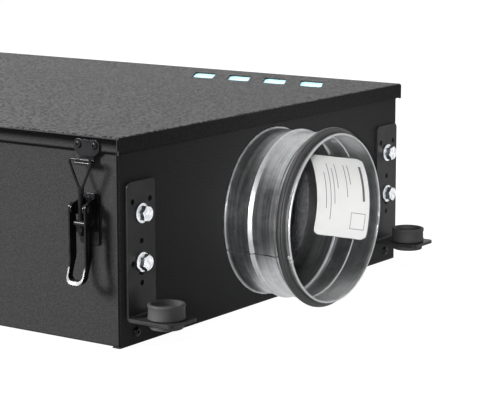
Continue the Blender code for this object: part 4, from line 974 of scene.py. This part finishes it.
# %% Spigots
def roughen(mesh):
    """Ragged cut edge on the collar, where the strip was sheared and tabbed."""
    for vert in mesh.vertices:
        out = Vector((0, vert.co.y, vert.co.z - DUCT_Z))
        if out.length > DUCT_RADIUS + COLLAR_HEIGHT - 0.5 * MM and vert.co.x < CASE_X + 3 * MM:
            shift = noise.noise(vert.co * 600) * 0.55 * MM - 0.25 * MM
            vert.co += out.normalized() * shift


def weld_bead(along, radius, angle, size):
    """Small knot of weld that closes the lap."""
    bm = bmesh.new()
    bmesh.ops.create_icosphere(bm, subdivisions=3, radius=size)
    centre = Vector((along, radius * math.cos(angle), DUCT_Z + radius * math.sin(angle)))
    for vert in bm.verts:
        lump = 1 + 0.35 * noise.noise(vert.co * 1100 + Vector((along, 0, 0)) * 90)
        vert.co = centre + vert.co * lump
    return closed(bm)


def make_spigots():
    """Both spigots, each with its weld at the rim and at the bead."""
    ring = turned(spigot_profile(), (0, 0, DUCT_Z), steps=176, lap=(0.55 * MM, 0.10, SEAM_ANGLE))
    roughen(ring)
    groove = block((CASE_X + COLLAR_START, DUCT_RADIUS - SEAM_DEPTH, -SEAM_WIDTH / 2),
                   (SPIGOT_HIGH.x - 3 * MM, DUCT_RADIUS + 4 * MM, SEAM_WIDTH / 2))
    groove.transform(Matrix.Translation((0, 0, DUCT_Z)) @ Matrix.Rotation(SEAM_ANGLE - 0.008, 4, "X"))
    ring = combined(ring, groove)
    welds = merged(
        weld_bead(SPIGOT_HIGH.x - 2.3 * MM, DUCT_RADIUS + 0.2 * MM, SEAM_ANGLE + 0.034, 2.1 * MM),
        weld_bead(SPIGOT_HIGH.x - 3.6 * MM, DUCT_RADIUS - 0.3 * MM, SEAM_ANGLE - 0.016, 1.9 * MM),
        weld_bead(CASE_X + BEAD_START + 3.4 * MM, DUCT_RADIUS + 0.9 * MM, SEAM_ANGLE, 1.2 * MM),
    )
    both = merged(ring, welds)
    rear = moved(both, Matrix.Rotation(math.pi, 4, "Z"))
    piece("spigot_front_ring", both, "spigot", "root", "galvanised", "spigot_front")
    piece("spigot_rear_ring", rear, "spigot", "root", "galvanised", "spigot_rear")


make_spigots()

# %% [markdown]
# ## Lip seals
# The rubber seal is extruded: a flat foot on the sheet and two soft lips that lean back, away from the
# mouth, so that a duct slides on easily and then grips.

# %% Lip seals


def make_seals():
    """Double-lip seal round each spigot."""
    start = SEAL_LOW.x
    foot = DUCT_RADIUS + 0.3 * MM
    tip = (SEAL_HIGH.z - SEAL_LOW.z) / 2
    profile = [(start, foot), (start, foot + 3.4 * MM), (start + 0.5 * MM, foot + 5.2 * MM)]
    profile += [(start + 1.5 * MM, tip - 0.5 * MM), (start + 2.6 * MM, tip - 0.1 * MM)]
    profile += [(start + 3.8 * MM, tip - 0.2 * MM), (start + 4.7 * MM, tip - 0.8 * MM)]
    profile += [(start + 5.0 * MM, tip - 1.9 * MM), (start + 5.4 * MM, tip - 1.8 * MM)]
    profile += [(start + 6.3 * MM, tip - 2.3 * MM), (start + 6.9 * MM, tip - 3.4 * MM)]
    profile += [(start + 7.0 * MM, foot + 1.0 * MM), (start + 7.0 * MM, foot)]
    ring = turned(profile, (0, 0, DUCT_Z), steps=128)
    rear = moved(ring, Matrix.Rotation(math.pi, 4, "Z"))
    piece("lip_seal_front", ring, "seal", "root", "seal_rubber", "spigot_seal_front", sharp=30)
    piece("lip_seal_rear", rear, "seal", "root", "seal_rubber", "spigot_seal_rear", sharp=30)


make_seals()

# %% [markdown]
# ## Label
# A paper label lies inside the front spigot. It is a thin curved patch with rounded corners, and its
# print is plain rules and an empty frame, as thin patches just above it.

# %% Label
LABEL_START = 2 * MM
LABEL_END = 63.5 * MM
LABEL_LOW = math.radians(-26)
LABEL_HIGH = math.radians(37.5)
PAPER = 0.12 * MM
INK = 0.03 * MM
RULES = ((13, -6, 22), (18.5, -14, 30), (23, -2, 26), (27.5, 10, 30), (38, 4, 30), (42.5, 14, 30))
RULE_WIDTH = 0.7 * MM
FRAME = (43 * MM, 59.5 * MM, math.radians(-19), math.radians(-7))
FRAME_LINE = 0.5 * MM
BAR = (56 * MM, 58.5 * MM, math.radians(2), math.radians(30))


def curved_patch(start, end, low, high, radius, thick, corner=0.0, columns=24, rows=32):
    """Thin patch on the inside of the duct; angles run up from the +Y side."""
    bm = bmesh.new()
    grid = []
    for row in range(rows + 1):
        angle = low + (high - low) * row / rows
        edge = min(row, rows - row) / rows * (high - low) * radius
        short = corner - math.sqrt(max(corner**2 - max(corner - edge, 0) ** 2, 0)) if edge < corner else 0
        line = []
        for column in range(columns + 1):
            along = CASE_X + start + short + (end - start - 2 * short) * column / columns
            line.append(bm.verts.new((along, radius * math.cos(angle), DUCT_Z + radius * math.sin(angle))))
        grid.append(line)
    for this, above in zip(grid, grid[1:]):
        for column in range(columns):
            bm.faces.new((this[column], this[column + 1], above[column + 1], above[column]))
    bmesh.ops.solidify(bm, geom=bm.faces[:], thickness=thick)
    return closed(bm)


def make_label():
    """Paper and print."""
    radius = DUCT_RADIUS - DUCT_WALL - 0.35 * MM
    paper = curved_patch(LABEL_START, LABEL_END, LABEL_LOW, LABEL_HIGH, radius, PAPER, 5 * MM)
    piece("label_sheet", paper, "paper", "root", "insert")
    radius -= 2.4 * PAPER
    marks = [(along * MM, along * MM + RULE_WIDTH, math.radians(low), math.radians(high), 1, 20)
             for along, low, high in RULES]
    start, end, low, high = FRAME
    turn = FRAME_LINE / radius
    marks += [(start, end, low, low + turn, 6, 8), (start, end, high - turn, high, 6, 8)]
    marks += [(start, start + FRAME_LINE, low, high, 6, 8), (end - FRAME_LINE, end, low, high, 6, 8)]
    marks.append((*BAR, 2, 16))
    patches = [curved_patch(*place, radius, INK, 0, columns, rows) for *place, columns, rows in marks]
    piece("label_rules", merged(*patches), "ink", "root", "plastic_black")


make_label()

# %% [markdown]
# ## Hangers
# Each corner hangs on a drilled angle bracket. Two flange bolts hold it to the end panel, and a rubber
# grommet in its leg keeps fan noise out of the hanging rod. One hanger is made at the front left corner
# and mirrored to the others, and the set-out tree places the bolts.

# %% Brackets
BRACKET_Y = (BRACKET_LOW.y + BRACKET_HIGH.y) / 2
BRACKET_THICK = 3.2 * MM
BRACKET_BEND = 5 * MM
BRACKET_ROUND = 5 * MM
HOLE_RADIUS = 2.5 * MM
HOLE_INSET = 7.5 * MM
MOUNT_HOLE = 12 * MM
SLOT_DROP = 7.5 * MM
BOLT_SEAT = CASE_X + 0.9 * MM + BRACKET_THICK + 0.3 * MM
BOLT_HEIGHTS = [sum(corner.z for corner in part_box("bolt_front_left_" + level)) / 2
                for level in ("upper", "lower")]


def bracket_mesh():
    """Bent plate with rounded tips and its hole pattern."""
    low, high = BRACKET_LOW, BRACKET_HIGH
    path = ((low.x, high.z), (low.x, low.z), (high.x, low.z))
    plate = prism(bent_sheet(path, BRACKET_THICK, BRACKET_BEND), "Y", low.y, high.y)
    bm = bmesh.new()
    bm.from_mesh(plate)
    tips = []
    for edge in bm.edges:
        first, second = (v.co for v in edge.verts)
        at_top = min(first.z, second.z) > high.z - 1e-5
        at_tip = min(first.x, second.x) > high.x - 1e-5
        if abs(first.y - second.y) < 1e-6 and (at_top or at_tip):
            tips.append(edge)
    bmesh.ops.bevel(bm, geom=tips, offset=BRACKET_ROUND, segments=6, profile=0.5, affect="EDGES")
    across = (high.y - low.y) / 2 - HOLE_INSET
    upper, lower = BOLT_HEIGHTS
    centres = ((across, high.z - 18 * MM), (-across, high.z - 18 * MM), (0, lower + 19 * MM),
               (across, lower), (0, lower - 19 * MM))
    span = (low.x - MM, low.x + BRACKET_THICK + MM)
    cutters = [prism(circle(HOLE_RADIUS, (BRACKET_Y + y, z), 24), "X", *span) for y, z in centres]
    cutters.append(prism(circle(BOLT_CLEAR, (BRACKET_Y, upper), 24), "X", *span))
    top_half = [(BRACKET_Y + BOLT_CLEAR * math.cos(a), lower + BOLT_CLEAR * math.sin(a))
                for a in (math.pi * i / 12 for i in range(13))]
    low_half = [(2 * BRACKET_Y - y, 2 * lower - SLOT_DROP - z) for y, z in top_half]
    cutters.append(prism(top_half + low_half, "X", *span))
    mount = (MOUNT_LOW + MOUNT_HIGH) / 2
    bore = circle(MOUNT_HOLE, (mount.x, mount.y), 40)
    cutters.append(prism(bore, "Z", low.z - MM, low.z + BRACKET_THICK + MM))
    return softened(combined(closed(bm), merged(*cutters)), 0.35 * MM)


# %% Bolts
FLANGE_RADIUS = 9 * MM
ACROSS_FLATS = 13 * MM
SHANK = 3.95 * MM


def bolt_mesh():
    """Hex flange bolt along +X, its bearing face at x = 0."""
    head_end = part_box("bolt_front_left_upper")[1].x - BOLT_SEAT
    flange = turned([(0, 0), (0, FLANGE_RADIUS - 0.3 * MM), (0.4 * MM, FLANGE_RADIUS),
                     (1.1 * MM, FLANGE_RADIUS - 0.1 * MM), (1.9 * MM, FLANGE_RADIUS - 1.3 * MM),
                     (2.6 * MM, 0)], steps=48)
    hexagon = circle(ACROSS_FLATS / math.sqrt(3), (0, 0), 6, math.pi / 6)
    head = prism(hexagon, "X", 1.4 * MM, head_end)
    rim, dish = head_end - 0.05 * MM, head_end - 0.45 * MM
    crown = turned([(1 * MM, 0), (1 * MM, 9 * MM), (head_end - 1.0 * MM, 7.65 * MM), (rim, 6.2 * MM),
                    (rim, 5.0 * MM), (dish, 4.6 * MM), (dish, 0)], steps=48)
    head = softened(combined(head, crown, "INTERSECT"), 0.2 * MM)
    shank = turned([(-15.9 * MM, 0), (-15.9 * MM, 3.4 * MM), (-15.3 * MM, SHANK), (0.5 * MM, SHANK),
                    (0.5 * MM, 0)], steps=24)
    return merged(flange, head, shank)


# %% Mounts
def mount_mesh():
    """Rubber grommet with a lip, a slight waist and a stepped recess, turned round its own axis."""
    low = MOUNT_LOW.z
    top = MOUNT_HIGH.z
    under = BRACKET_LOW.z
    over = under + BRACKET_THICK
    profile = [
        (low, 5.0), (low, 14.6), (low + 0.5 * MM, 15.3), (under - 1.0 * MM, 15.4), (under - 0.3 * MM, 15.0),
        (under - 0.3 * MM, 11.7), (over + 0.3 * MM, 11.7), (over + 0.3 * MM, 16.3), (over + 0.9 * MM, 16.9),
        (over + 2.4 * MM, 16.9), (over + 4.5 * MM, 16.45), (top - 5.0 * MM, 16.35), (top - 3.2 * MM, 16.6),
        (top - 2.4 * MM, 16.95), (top - 0.8 * MM, 16.95), (top - 0.2 * MM, 16.5), (top, 16.0), (top, 14.6),
        (top - 0.4 * MM, 13.9), (top - 1.2 * MM, 13.6), (top - 4.6 * MM, 13.4), (top - 5.0 * MM, 13.0),
        (top - 5.0 * MM, 9.4), (top - 5.4 * MM, 9.0), (top - 9.0 * MM, 8.8), (top - 9.4 * MM, 8.4),
        (top - 9.4 * MM, 5.0),
    ]
    middle = (MOUNT_LOW + MOUNT_HIGH) / 2
    return turned([(z, r * MM) for z, r in profile], (middle.x, middle.y, 0), "Z", 64)


# %% Set out the hangers
def mirrored(mesh, matrix):
    """Copy of a mesh in another quarter, its faces still outwards."""
    copy = moved(mesh, matrix)
    if matrix.determinant() < 0:
        copy.flip_normals()
    return copy


def make_hangers():
    """Bracket and mount at each corner, and all the bolts."""
    bracket = bracket_mesh()
    mount = mount_mesh()
    places = []
    for number, (corner, x_sign, y_sign) in enumerate(CORNERS):
        matrix = Matrix.Diagonal((x_sign, y_sign, 1, 1))
        piece("hanger_bracket_" + corner, mirrored(bracket, matrix),
              "bracket", "root", "bracket_coat", "bracket_" + corner)
        piece("hanger_mount_" + corner, mirrored(mount, matrix),
              "rubber", "root", "rubber", "mount_" + corner)
        for level, height in enumerate(BOLT_HEIGHTS):
            location = matrix @ Vector((BOLT_SEAT, BRACKET_Y, height))
            roll = math.radians(17 + 23 * number + 31 * level)
            places.append((location, (roll, 0, 0 if location.x > 0 else math.pi)))
    names = [f"bolt_{corner}_{level}" for corner, _, _ in CORNERS for level in ("upper", "lower")]
    piece("flange_bolts", set_out(bolt_mesh(), places), "bolt", "root", "zinc", *names, sharp=30)


make_hangers()

# %% [markdown]
# ## Latches
# Each latch is a toggle: a wall plate with two ears, a pull lever between rivets, and a wire bail on a
# threaded rod that hooks over the keeper on the lid. The parts are made once, for a wall at y = 0 that
# faces -Y with the latch centred on x = 0, and each corner gets its copy, because each lever and bail
# swings on its own joint.

# %% Latch sizes
BASE_LOW, BASE_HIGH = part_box("latch_base_front_left")
LATCH_X = (BASE_LOW.x + BASE_HIGH.x) / 2
PIVOT = Vector((-15 * MM, BASE_HIGH.z - 12 * MM))
TRUNNION = PIVOT + Vector((1.4 * MM, -13.5 * MM))
PIN = 1.9 * MM
PLATE_BACK = 0.3 * MM
PLATE_THICK = 2 * MM
EAR = (6.2 * MM, 7.7 * MM)
LEVER = (8.0 * MM, 9.8 * MM)
LEVER_DEPTH = 9 * MM
RING_THICK = 3.5 * MM
RING_LEAN = 0.35
RING_TAPER = 0.72
BAIL_TOP = LID_HIGH.z - 20.8 * MM
BAIL_HALF = 13.5 * MM
BAIL_APEX = PIVOT.y + 17 * MM
WIRE = 1.3 * MM
ROD = 2.5 * MM
TO_WALL = Matrix.Rotation(-math.pi / 2, 4, "Z")


def latch_seat(x_sign, y_sign):
    """Turns and moves the latch's own frame onto its place on the casing's side."""
    turn = Matrix.Rotation(math.pi if y_sign > 0 else 0, 4, "Z")
    return Matrix.Translation((x_sign * LATCH_X, y_sign * CASE_Y, 0)) @ turn


# %% Button heads
def button_head(radius, height, socket):
    """Domed screw head along +X with a hexagon socket, its bearing face at x = 0."""
    rise = [(height * math.sin(a), radius * (0.42 + 0.58 * math.cos(a))) for a in
            (math.radians(12 * step) for step in range(8))]
    flat = (height, rise[-1][1] * 0.92)
    dome = turned([(0, 0), (0, radius - 0.15 * MM)] + rise[1:] + [flat, (height, 0)], steps=40)
    hexagon = prism(circle(socket, (0, 0), 6), "X", height * 0.42, height + MM)
    return softened(combined(dome, hexagon), 0.08 * MM)


def make_screws():
    """Corner screws of the end panels."""
    inset, level = 23 * MM, 12 * MM
    ends = []
    for _, x, y in CORNERS:
        angles = (0.4 * x + 0.9 * y, 0, 0 if x > 0 else math.pi)
        ends.append(((x * CASE_X, y * (CASE_Y - inset), level), angles))
    screw = set_out(button_head(4.7 * MM, 2.6 * MM, 1.7 * MM), ends)
    piece("panel_screws", screw, "latch", "root", "latch_gloss", sharp=30)


make_screws()


# %% Wall plate and ears
def rivet(inner, outer, centre, radius):
    """Pin along X with a domed head at its outer end."""
    head = 1.6 * radius
    start = LEVER[1] + 0.3 * MM
    profile = [(inner, 0), (inner, radius), (start, radius)]
    profile += [(start, head - 0.15 * MM), (start + 0.2 * MM, head)]
    profile += [(start + 0.55 * (outer - start), head * 0.93), (outer - 0.12 * MM, head * 0.66), (outer, 0)]
    return turned(profile, (0, centre.x, centre.y), steps=28)


def both_sides(mesh):
    """A part together with its mirror image across x = 0."""
    other = moved(mesh, Matrix.Diagonal((-1, 1, 1, 1)))
    other.flip_normals()
    return merged(mesh, other)


def base_mesh():
    """Plate, two ears, pivot rivets, and two rivets into the wall."""
    bottom = BASE_HIGH.z - 46 * MM
    face = PLATE_BACK + PLATE_THICK
    outline = rounded(rectangle((-11 * MM, bottom), (11 * MM, BASE_HIGH.z)), 3 * MM)
    plate = softened(prism(outline, "Y", -face, -PLATE_BACK), 0.35 * MM)
    spread, root = 8.8 * MM, -PLATE_BACK - PLATE_THICK / 2
    nose = [(PIVOT.x - 4.8 * MM * math.cos(a), PIVOT.y + 4.8 * MM * math.sin(a))
            for a in (math.radians(-80 + 16 * step) for step in range(11))]
    ear = [(root, PIVOT.y - spread)] + nose + [(root, PIVOT.y + spread)]
    ears = both_sides(softened(prism(ear, "X", *EAR), 0.25 * MM))
    pins = both_sides(rivet((EAR[0] + EAR[1]) / 2, LEVER[1] + 1.3 * MM, PIVOT, PIN))
    wall_rivet = moved(button_head(2.6 * MM, 1.1 * MM, 0.9 * MM), TO_WALL)
    wall_rivets = [moved(wall_rivet, Matrix.Translation((0, -face, z)))
                   for z in (bottom + 5 * MM, BASE_HIGH.z - 5 * MM)]
    return merged(plate, ears, pins, *wall_rivets)


# %% Lever
def lever_mesh():
    """Two side plates joined by a finger ring that leans out from the wall."""
    top = PIVOT.y + 5 * MM
    bottom = PIVOT.y - 67 * MM
    neck = PIVOT.y - 48 * MM
    inner, outer = LEVER
    floor = bottom + RING_THICK
    corners = ((-outer, top), (-outer, bottom), (outer, bottom), (outer, top),
               (inner, top), (inner, floor), (-inner, floor), (-inner, top))
    outline = rounded(corners, (0, 7 * MM, 7 * MM, 0, 0, 5.2 * MM, 5.2 * MM, 0), 8)
    bm = bmesh.new()
    bm.from_mesh(prism(outline, "Y", PIVOT.x - LEVER_DEPTH / 2, PIVOT.x + LEVER_DEPTH / 2))
    tips = [e for e in bm.edges if all(v.co.z > top - 1e-6 for v in e.verts)
            and abs(e.verts[0].co.y - e.verts[1].co.y) < 1e-6]
    bmesh.ops.bevel(bm, geom=tips, offset=LEVER_DEPTH * 0.45, segments=8, profile=0.5, affect="EDGES")
    for step in range(9):
        bmesh.ops.bisect_plane(bm, geom=bm.verts[:] + bm.edges[:] + bm.faces[:], dist=1e-7,
                               plane_co=(0, 0, neck + 6 * MM - 1.5 * MM * step), plane_no=(0, 0, 1))
    for vert in bm.verts:
        drop = max(neck + 6 * MM - vert.co.z, 0)
        bend = drop**2 / (drop + 9 * MM) if drop else 0
        narrow = 1 - (1 - RING_TAPER) * min(drop / (9 * MM), 1)
        vert.co.y = PIVOT.x + (vert.co.y - PIVOT.x) * narrow - bend * RING_LEAN * 1.12
    lever = closed(bm)
    reach = outer + MM
    holes = [prism(circle(PIN + 0.3 * MM, point, 24), "X", -reach, reach) for point in (PIVOT, TRUNNION)]
    rib = block((outer - 0.2 * MM, PIVOT.x - 0.9 * MM, neck + 7 * MM),
                (outer + 0.18 * MM, PIVOT.x + 0.9 * MM, TRUNNION.y - 6 * MM))
    ribs = both_sides(softened(rib, 0.15 * MM, 3))
    return merged(softened(combined(lever, merged(*holes)), 0.5 * MM, 3), ribs)


# %% Bail
def wire_loop(points, radius, corner):
    """Closed round wire through points in the plane y = 0, with its corners bent to a radius."""
    curve = bpy.data.curves.new("wire", "CURVE")
    curve.dimensions = "3D"
    curve.bevel_depth = radius
    curve.bevel_resolution = 4
    path = rounded(points, corner, 8)
    spline = curve.splines.new("POLY")
    spline.points.add(len(path) - 1)
    for point, (x, z) in zip(spline.points, path):
        point.co = (x, 0, z, 1)
    spline.use_cyclic_u = True
    item = bpy.data.objects.new("wire", curve)
    bpy.context.scene.collection.objects.link(item)
    mesh = bpy.data.meshes.new_from_object(item.evaluated_get(bpy.context.evaluated_depsgraph_get()))
    bpy.data.objects.remove(item)
    return mesh


def threaded(radius, low, high, pitch=0.9 * MM, depth=0.35 * MM):
    """Rod along Z whose profile is cut by thread flanks."""
    profile = [(low, 0), (low, radius - depth)]
    count = int((high - low) / pitch)
    for i in range(count):
        start = low + i * pitch
        profile += [(start + 0.38 * pitch, radius), (start + 0.55 * pitch, radius)]
        profile.append((start + 0.95 * pitch, radius - depth))
    return turned(profile + [(high, radius - depth), (high, 0)], axis="Z", steps=28)


def bail_mesh():
    """Wire triangle on its threaded rod, with the trunnion barrel and the adjusting nut."""
    y, z = TRUNNION
    foot = ROD * 0.55
    triangle = ((-BAIL_HALF, BAIL_TOP), (-foot, BAIL_APEX), (foot, BAIL_APEX), (BAIL_HALF, BAIL_TOP))
    loop = wire_loop(triangle, WIRE, (2.6 * MM, 0.8 * MM, 0.8 * MM, 2.6 * MM))
    low, high = BAIL_APEX - 4 * MM, BAIL_APEX + 2.2 * MM
    sleeve = turned([(low, 0), (low, 2.7 * MM), (low + 0.6 * MM, 3.0 * MM), (high - MM, 3.0 * MM),
                     (high, 2.2 * MM), (high, 0)], axis="Z", steps=32)
    rod = threaded(ROD, z - 11 * MM, BAIL_APEX - 3 * MM)
    top = z - 3.3 * MM
    hexagon = prism(circle(8 * MM / math.sqrt(3), (0, 0), 6, 0.35), "Z", top - 4 * MM, top)
    crown = turned([(top - 4 * MM, 0), (top - 4 * MM, 4.1 * MM), (top - 3.4 * MM, 4.7 * MM),
                    (top - 0.6 * MM, 4.7 * MM), (top, 4.1 * MM), (top, 0)], axis="Z", steps=40)
    nut = softened(combined(hexagon, crown, "INTERSECT"), 0.12 * MM)
    upright = moved(merged(loop, sleeve, rod, nut), Matrix.Translation((0, y, 0)))
    half = LEVER[0] - 0.3 * MM
    end = LEVER[1] - 0.3 * MM
    barrel = turned([(-end, 0), (-end, PIN), (-half, PIN), (-half, 2.7 * MM), (-half + 0.4 * MM, 3 * MM),
                     (half - 0.4 * MM, 3 * MM), (half, 2.7 * MM), (half, PIN), (end, PIN), (end, 0)],
                    (0, y, z), steps=40)
    return merged(upright, barrel)


# %% Keeper
LOBE = ((14.5, 0, 5.0), (14.5, 11.5, 4.6), (8.4, 15.5, 3.0), (8.4, 25, 0))


def keeper_mesh():
    """Catch plate with two lobes, a tongue with a turned-down lip, and its two screws."""
    back = -(LID_HALF_Y - CASE_Y + PLATE_BACK)
    front = back - 1.5 * MM
    tip = TRUNNION.x + WIRE + 0.4 * MM
    shelf = BAIL_TOP - WIRE - 0.6 * MM
    top = LID_HIGH.z - 3 * MM
    under = shelf - 1.5 * MM
    lip = under - 1.9 * MM
    side = rounded(((front, top), (front, shelf), (tip, shelf), (tip, lip), (tip + 1.5 * MM, lip),
                    (tip + 1.5 * MM, under), (back, under), (back, top)),
                   (0.3 * MM, 0.6 * MM, 1.8 * MM, 0.3 * MM, 0.3 * MM, 0.4 * MM, 2.0 * MM, 0.3 * MM))
    right = [(x * MM, top - drop * MM, radius * MM) for x, drop, radius in LOBE]
    dip = [(x, top - 1.4 * MM, 4 * MM) for x in (-2.4 * MM, 2.4 * MM)]
    corners = right + [(-x, z, radius) for x, z, radius in right[::-1]] + dip
    lobes = rounded([(x, z) for x, z, _ in corners], [radius for _, _, radius in corners])
    plate = combined(prism(side, "X", -16 * MM, 16 * MM), prism(lobes, "Y", tip - MM, back + MM), "INTERSECT")
    head = moved(button_head(3.5 * MM, 1.9 * MM, 1.35 * MM), TO_WALL)
    heads = [moved(head, Matrix.Translation((x, front, top - 6 * MM)) @ Matrix.Rotation(0.5 + 40 * x, 4, "Y"))
             for x in (-9 * MM, 9 * MM)]
    return merged(softened(plate, 0.3 * MM, 3), *heads)


# %% Put the latches on
def make_latches():
    """A latch at each corner of the long sides."""
    parts = (("latch_base", base_mesh(), "root"), ("latch_lever", lever_mesh(), "lever_{}"),
             ("latch_loop", bail_mesh(), "loop_{}"), ("keeper", keeper_mesh(), "lid"))
    for corner, x_sign, y_sign in CORNERS:
        seat = latch_seat(x_sign, y_sign)
        for part, mesh, body in parts:
            node = f"{part}_{corner}"
            piece(node + "_formed", moved(mesh, seat), "latch", body.format(corner), "latch_gloss", node,
                  sharp=32)


make_latches()

# %% [markdown]
# ## Inside
# The heat core is a block of fine straight channels, so its two faces are a grid of thin walls over a
# recess, and a band with a lifting strap wraps it. The fan's hub carries lofted blades that twist less
# towards the tip, as the air there moves faster.

# %% Heat core
CELL = 4.6 * MM
CELL_WALL = 0.7 * MM
CELL_DEPTH = 1.2 * MM
BAND = 0.5 * MM


def core_mesh():
    """Core block with a grid of channel walls on its front and rear faces."""
    low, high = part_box("heat_core")
    inner_low = low + Vector((CELL_DEPTH, BAND, BAND))
    inner_high = high - Vector((CELL_DEPTH, BAND, BAND))
    parts = [softened(block(inner_low, inner_high), 0.6 * MM)]
    across = int((high.y - low.y) / CELL) + 1
    up = int((high.z - low.z) / CELL) + 1
    middle = (low + high) / 2
    for x in (low.x + CELL_DEPTH / 2, high.x - CELL_DEPTH / 2):
        start = Vector((x, low.y + CELL_WALL, middle.z))
        step = (high.y - low.y - 2 * CELL_WALL) / (across - 1)
        parts.append(slats(across, start, (0, step, 0), (CELL_DEPTH, CELL_WALL, high.z - low.z)))
        start = Vector((x, middle.y, low.z + CELL_WALL))
        step = (high.z - low.z - 2 * CELL_WALL) / (up - 1)
        parts.append(slats(up, start, (0, 0, step), (CELL_DEPTH * 0.96, high.y - low.y, CELL_WALL)))
    return merged(*parts)


def strap_mesh():
    """Two bands round the core, and the flat lifting strap between them."""
    low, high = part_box("heat_core")
    outer = rectangle((low.y, low.z), (high.y, high.z))
    inner = rectangle((low.y + BAND, low.z + BAND), (high.y - BAND, high.z - BAND))
    middle = (low.x + high.x) / 2
    parts = []
    for x in (middle - 62 * MM, middle + 62 * MM):
        ring = combined(prism(rounded(outer, 1.2 * MM), "X", x - 9 * MM, x + 9 * MM),
                        prism(inner, "X", x - 10 * MM, x + 10 * MM))
        parts.append(ring)
    strap = rounded(rectangle((middle - 70 * MM, -11 * MM), (middle + 70 * MM, 11 * MM)), 5 * MM)
    parts.append(prism(strap, "Z", high.z - BAND, high.z))
    return merged(*parts)


piece("heat_core_cells", core_mesh(), "ceramic", "core", "core", "heat_core")
piece("heat_core_straps", strap_mesh(), "black_plastic", "core", "plastic_black")

# %% Impeller
BLADE_COUNT = 7
HUB_RADIUS = 30 * MM
BLADE_SECTIONS = 9


def blade_mesh(length, root, tip):
    """Blade along +Z, lofted through rounded sections that twist less towards the tip."""
    bm = bmesh.new()
    rings = []
    for section in range(BLADE_SECTIONS):
        part = section / (BLADE_SECTIONS - 1)
        twist = math.radians(58 - 24 * part)
        chord = 0.94 * length / math.cos(math.radians(90) - twist)
        chord = min(chord, 22 * MM + 12 * MM * part)
        ring = []
        for step in range(16):
            angle = math.tau * step / 16
            along, thick = chord / 2 * math.cos(angle), 0.9 * MM * math.sin(angle)
            thick += 1.6 * MM * (1 - math.cos(angle) ** 2)
            x = along * math.sin(twist) - thick * math.cos(twist)
            y = along * math.cos(twist) + thick * math.sin(twist)
            rise = root + (tip - root) * part
            ring.append(bm.verts.new((x, y, math.sqrt(max(rise**2 - y**2, 0)))))
        rings.append(ring)
    for first, second in zip(rings, rings[1:]):
        for i in range(16):
            j = (i + 1) % 16
            bm.faces.new((first[i], first[j], second[j], second[i]))
    bm.faces.new(rings[0])
    bm.faces.new(rings[-1])
    return closed(bm)


def make_impeller():
    """Domed hub, and its blades set out round the axis."""
    low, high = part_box("fan_impeller")
    length = high.x - low.x
    centre = (low + high) / 2
    tip = (high.z - low.z) / 2
    bore = 5 * MM
    hub = [(low.x, bore), (low.x, HUB_RADIUS), (low.x + 0.8 * MM, HUB_RADIUS + 0.4 * MM)]
    hub += [(high.x - 5 * MM + 5 * MM * math.sin(a), HUB_RADIUS - 4.6 * MM + 5 * MM * math.cos(a))
            for a in (math.radians(15 * step) for step in range(7))]
    hub += [(high.x - 0.9 * MM, HUB_RADIUS * 0.6), (high.x - 0.9 * MM, 9 * MM), (high.x, 8 * MM), (high.x, 0)]
    hub += [(high.x - 4 * MM, 0), (high.x - 4 * MM, bore)]
    parts = [turned(hub, (0, centre.y, centre.z), steps=72)]
    turns = [(centre, (math.tau * i / BLADE_COUNT, 0, 0)) for i in range(BLADE_COUNT)]
    parts.append(set_out(blade_mesh(length, HUB_RADIUS - 1.5 * MM, tip - 0.2 * MM), turns))
    piece("fan_impeller_blades", merged(*parts), "grey_plastic", "impeller", "plastic_grey", "fan_impeller")


make_impeller()
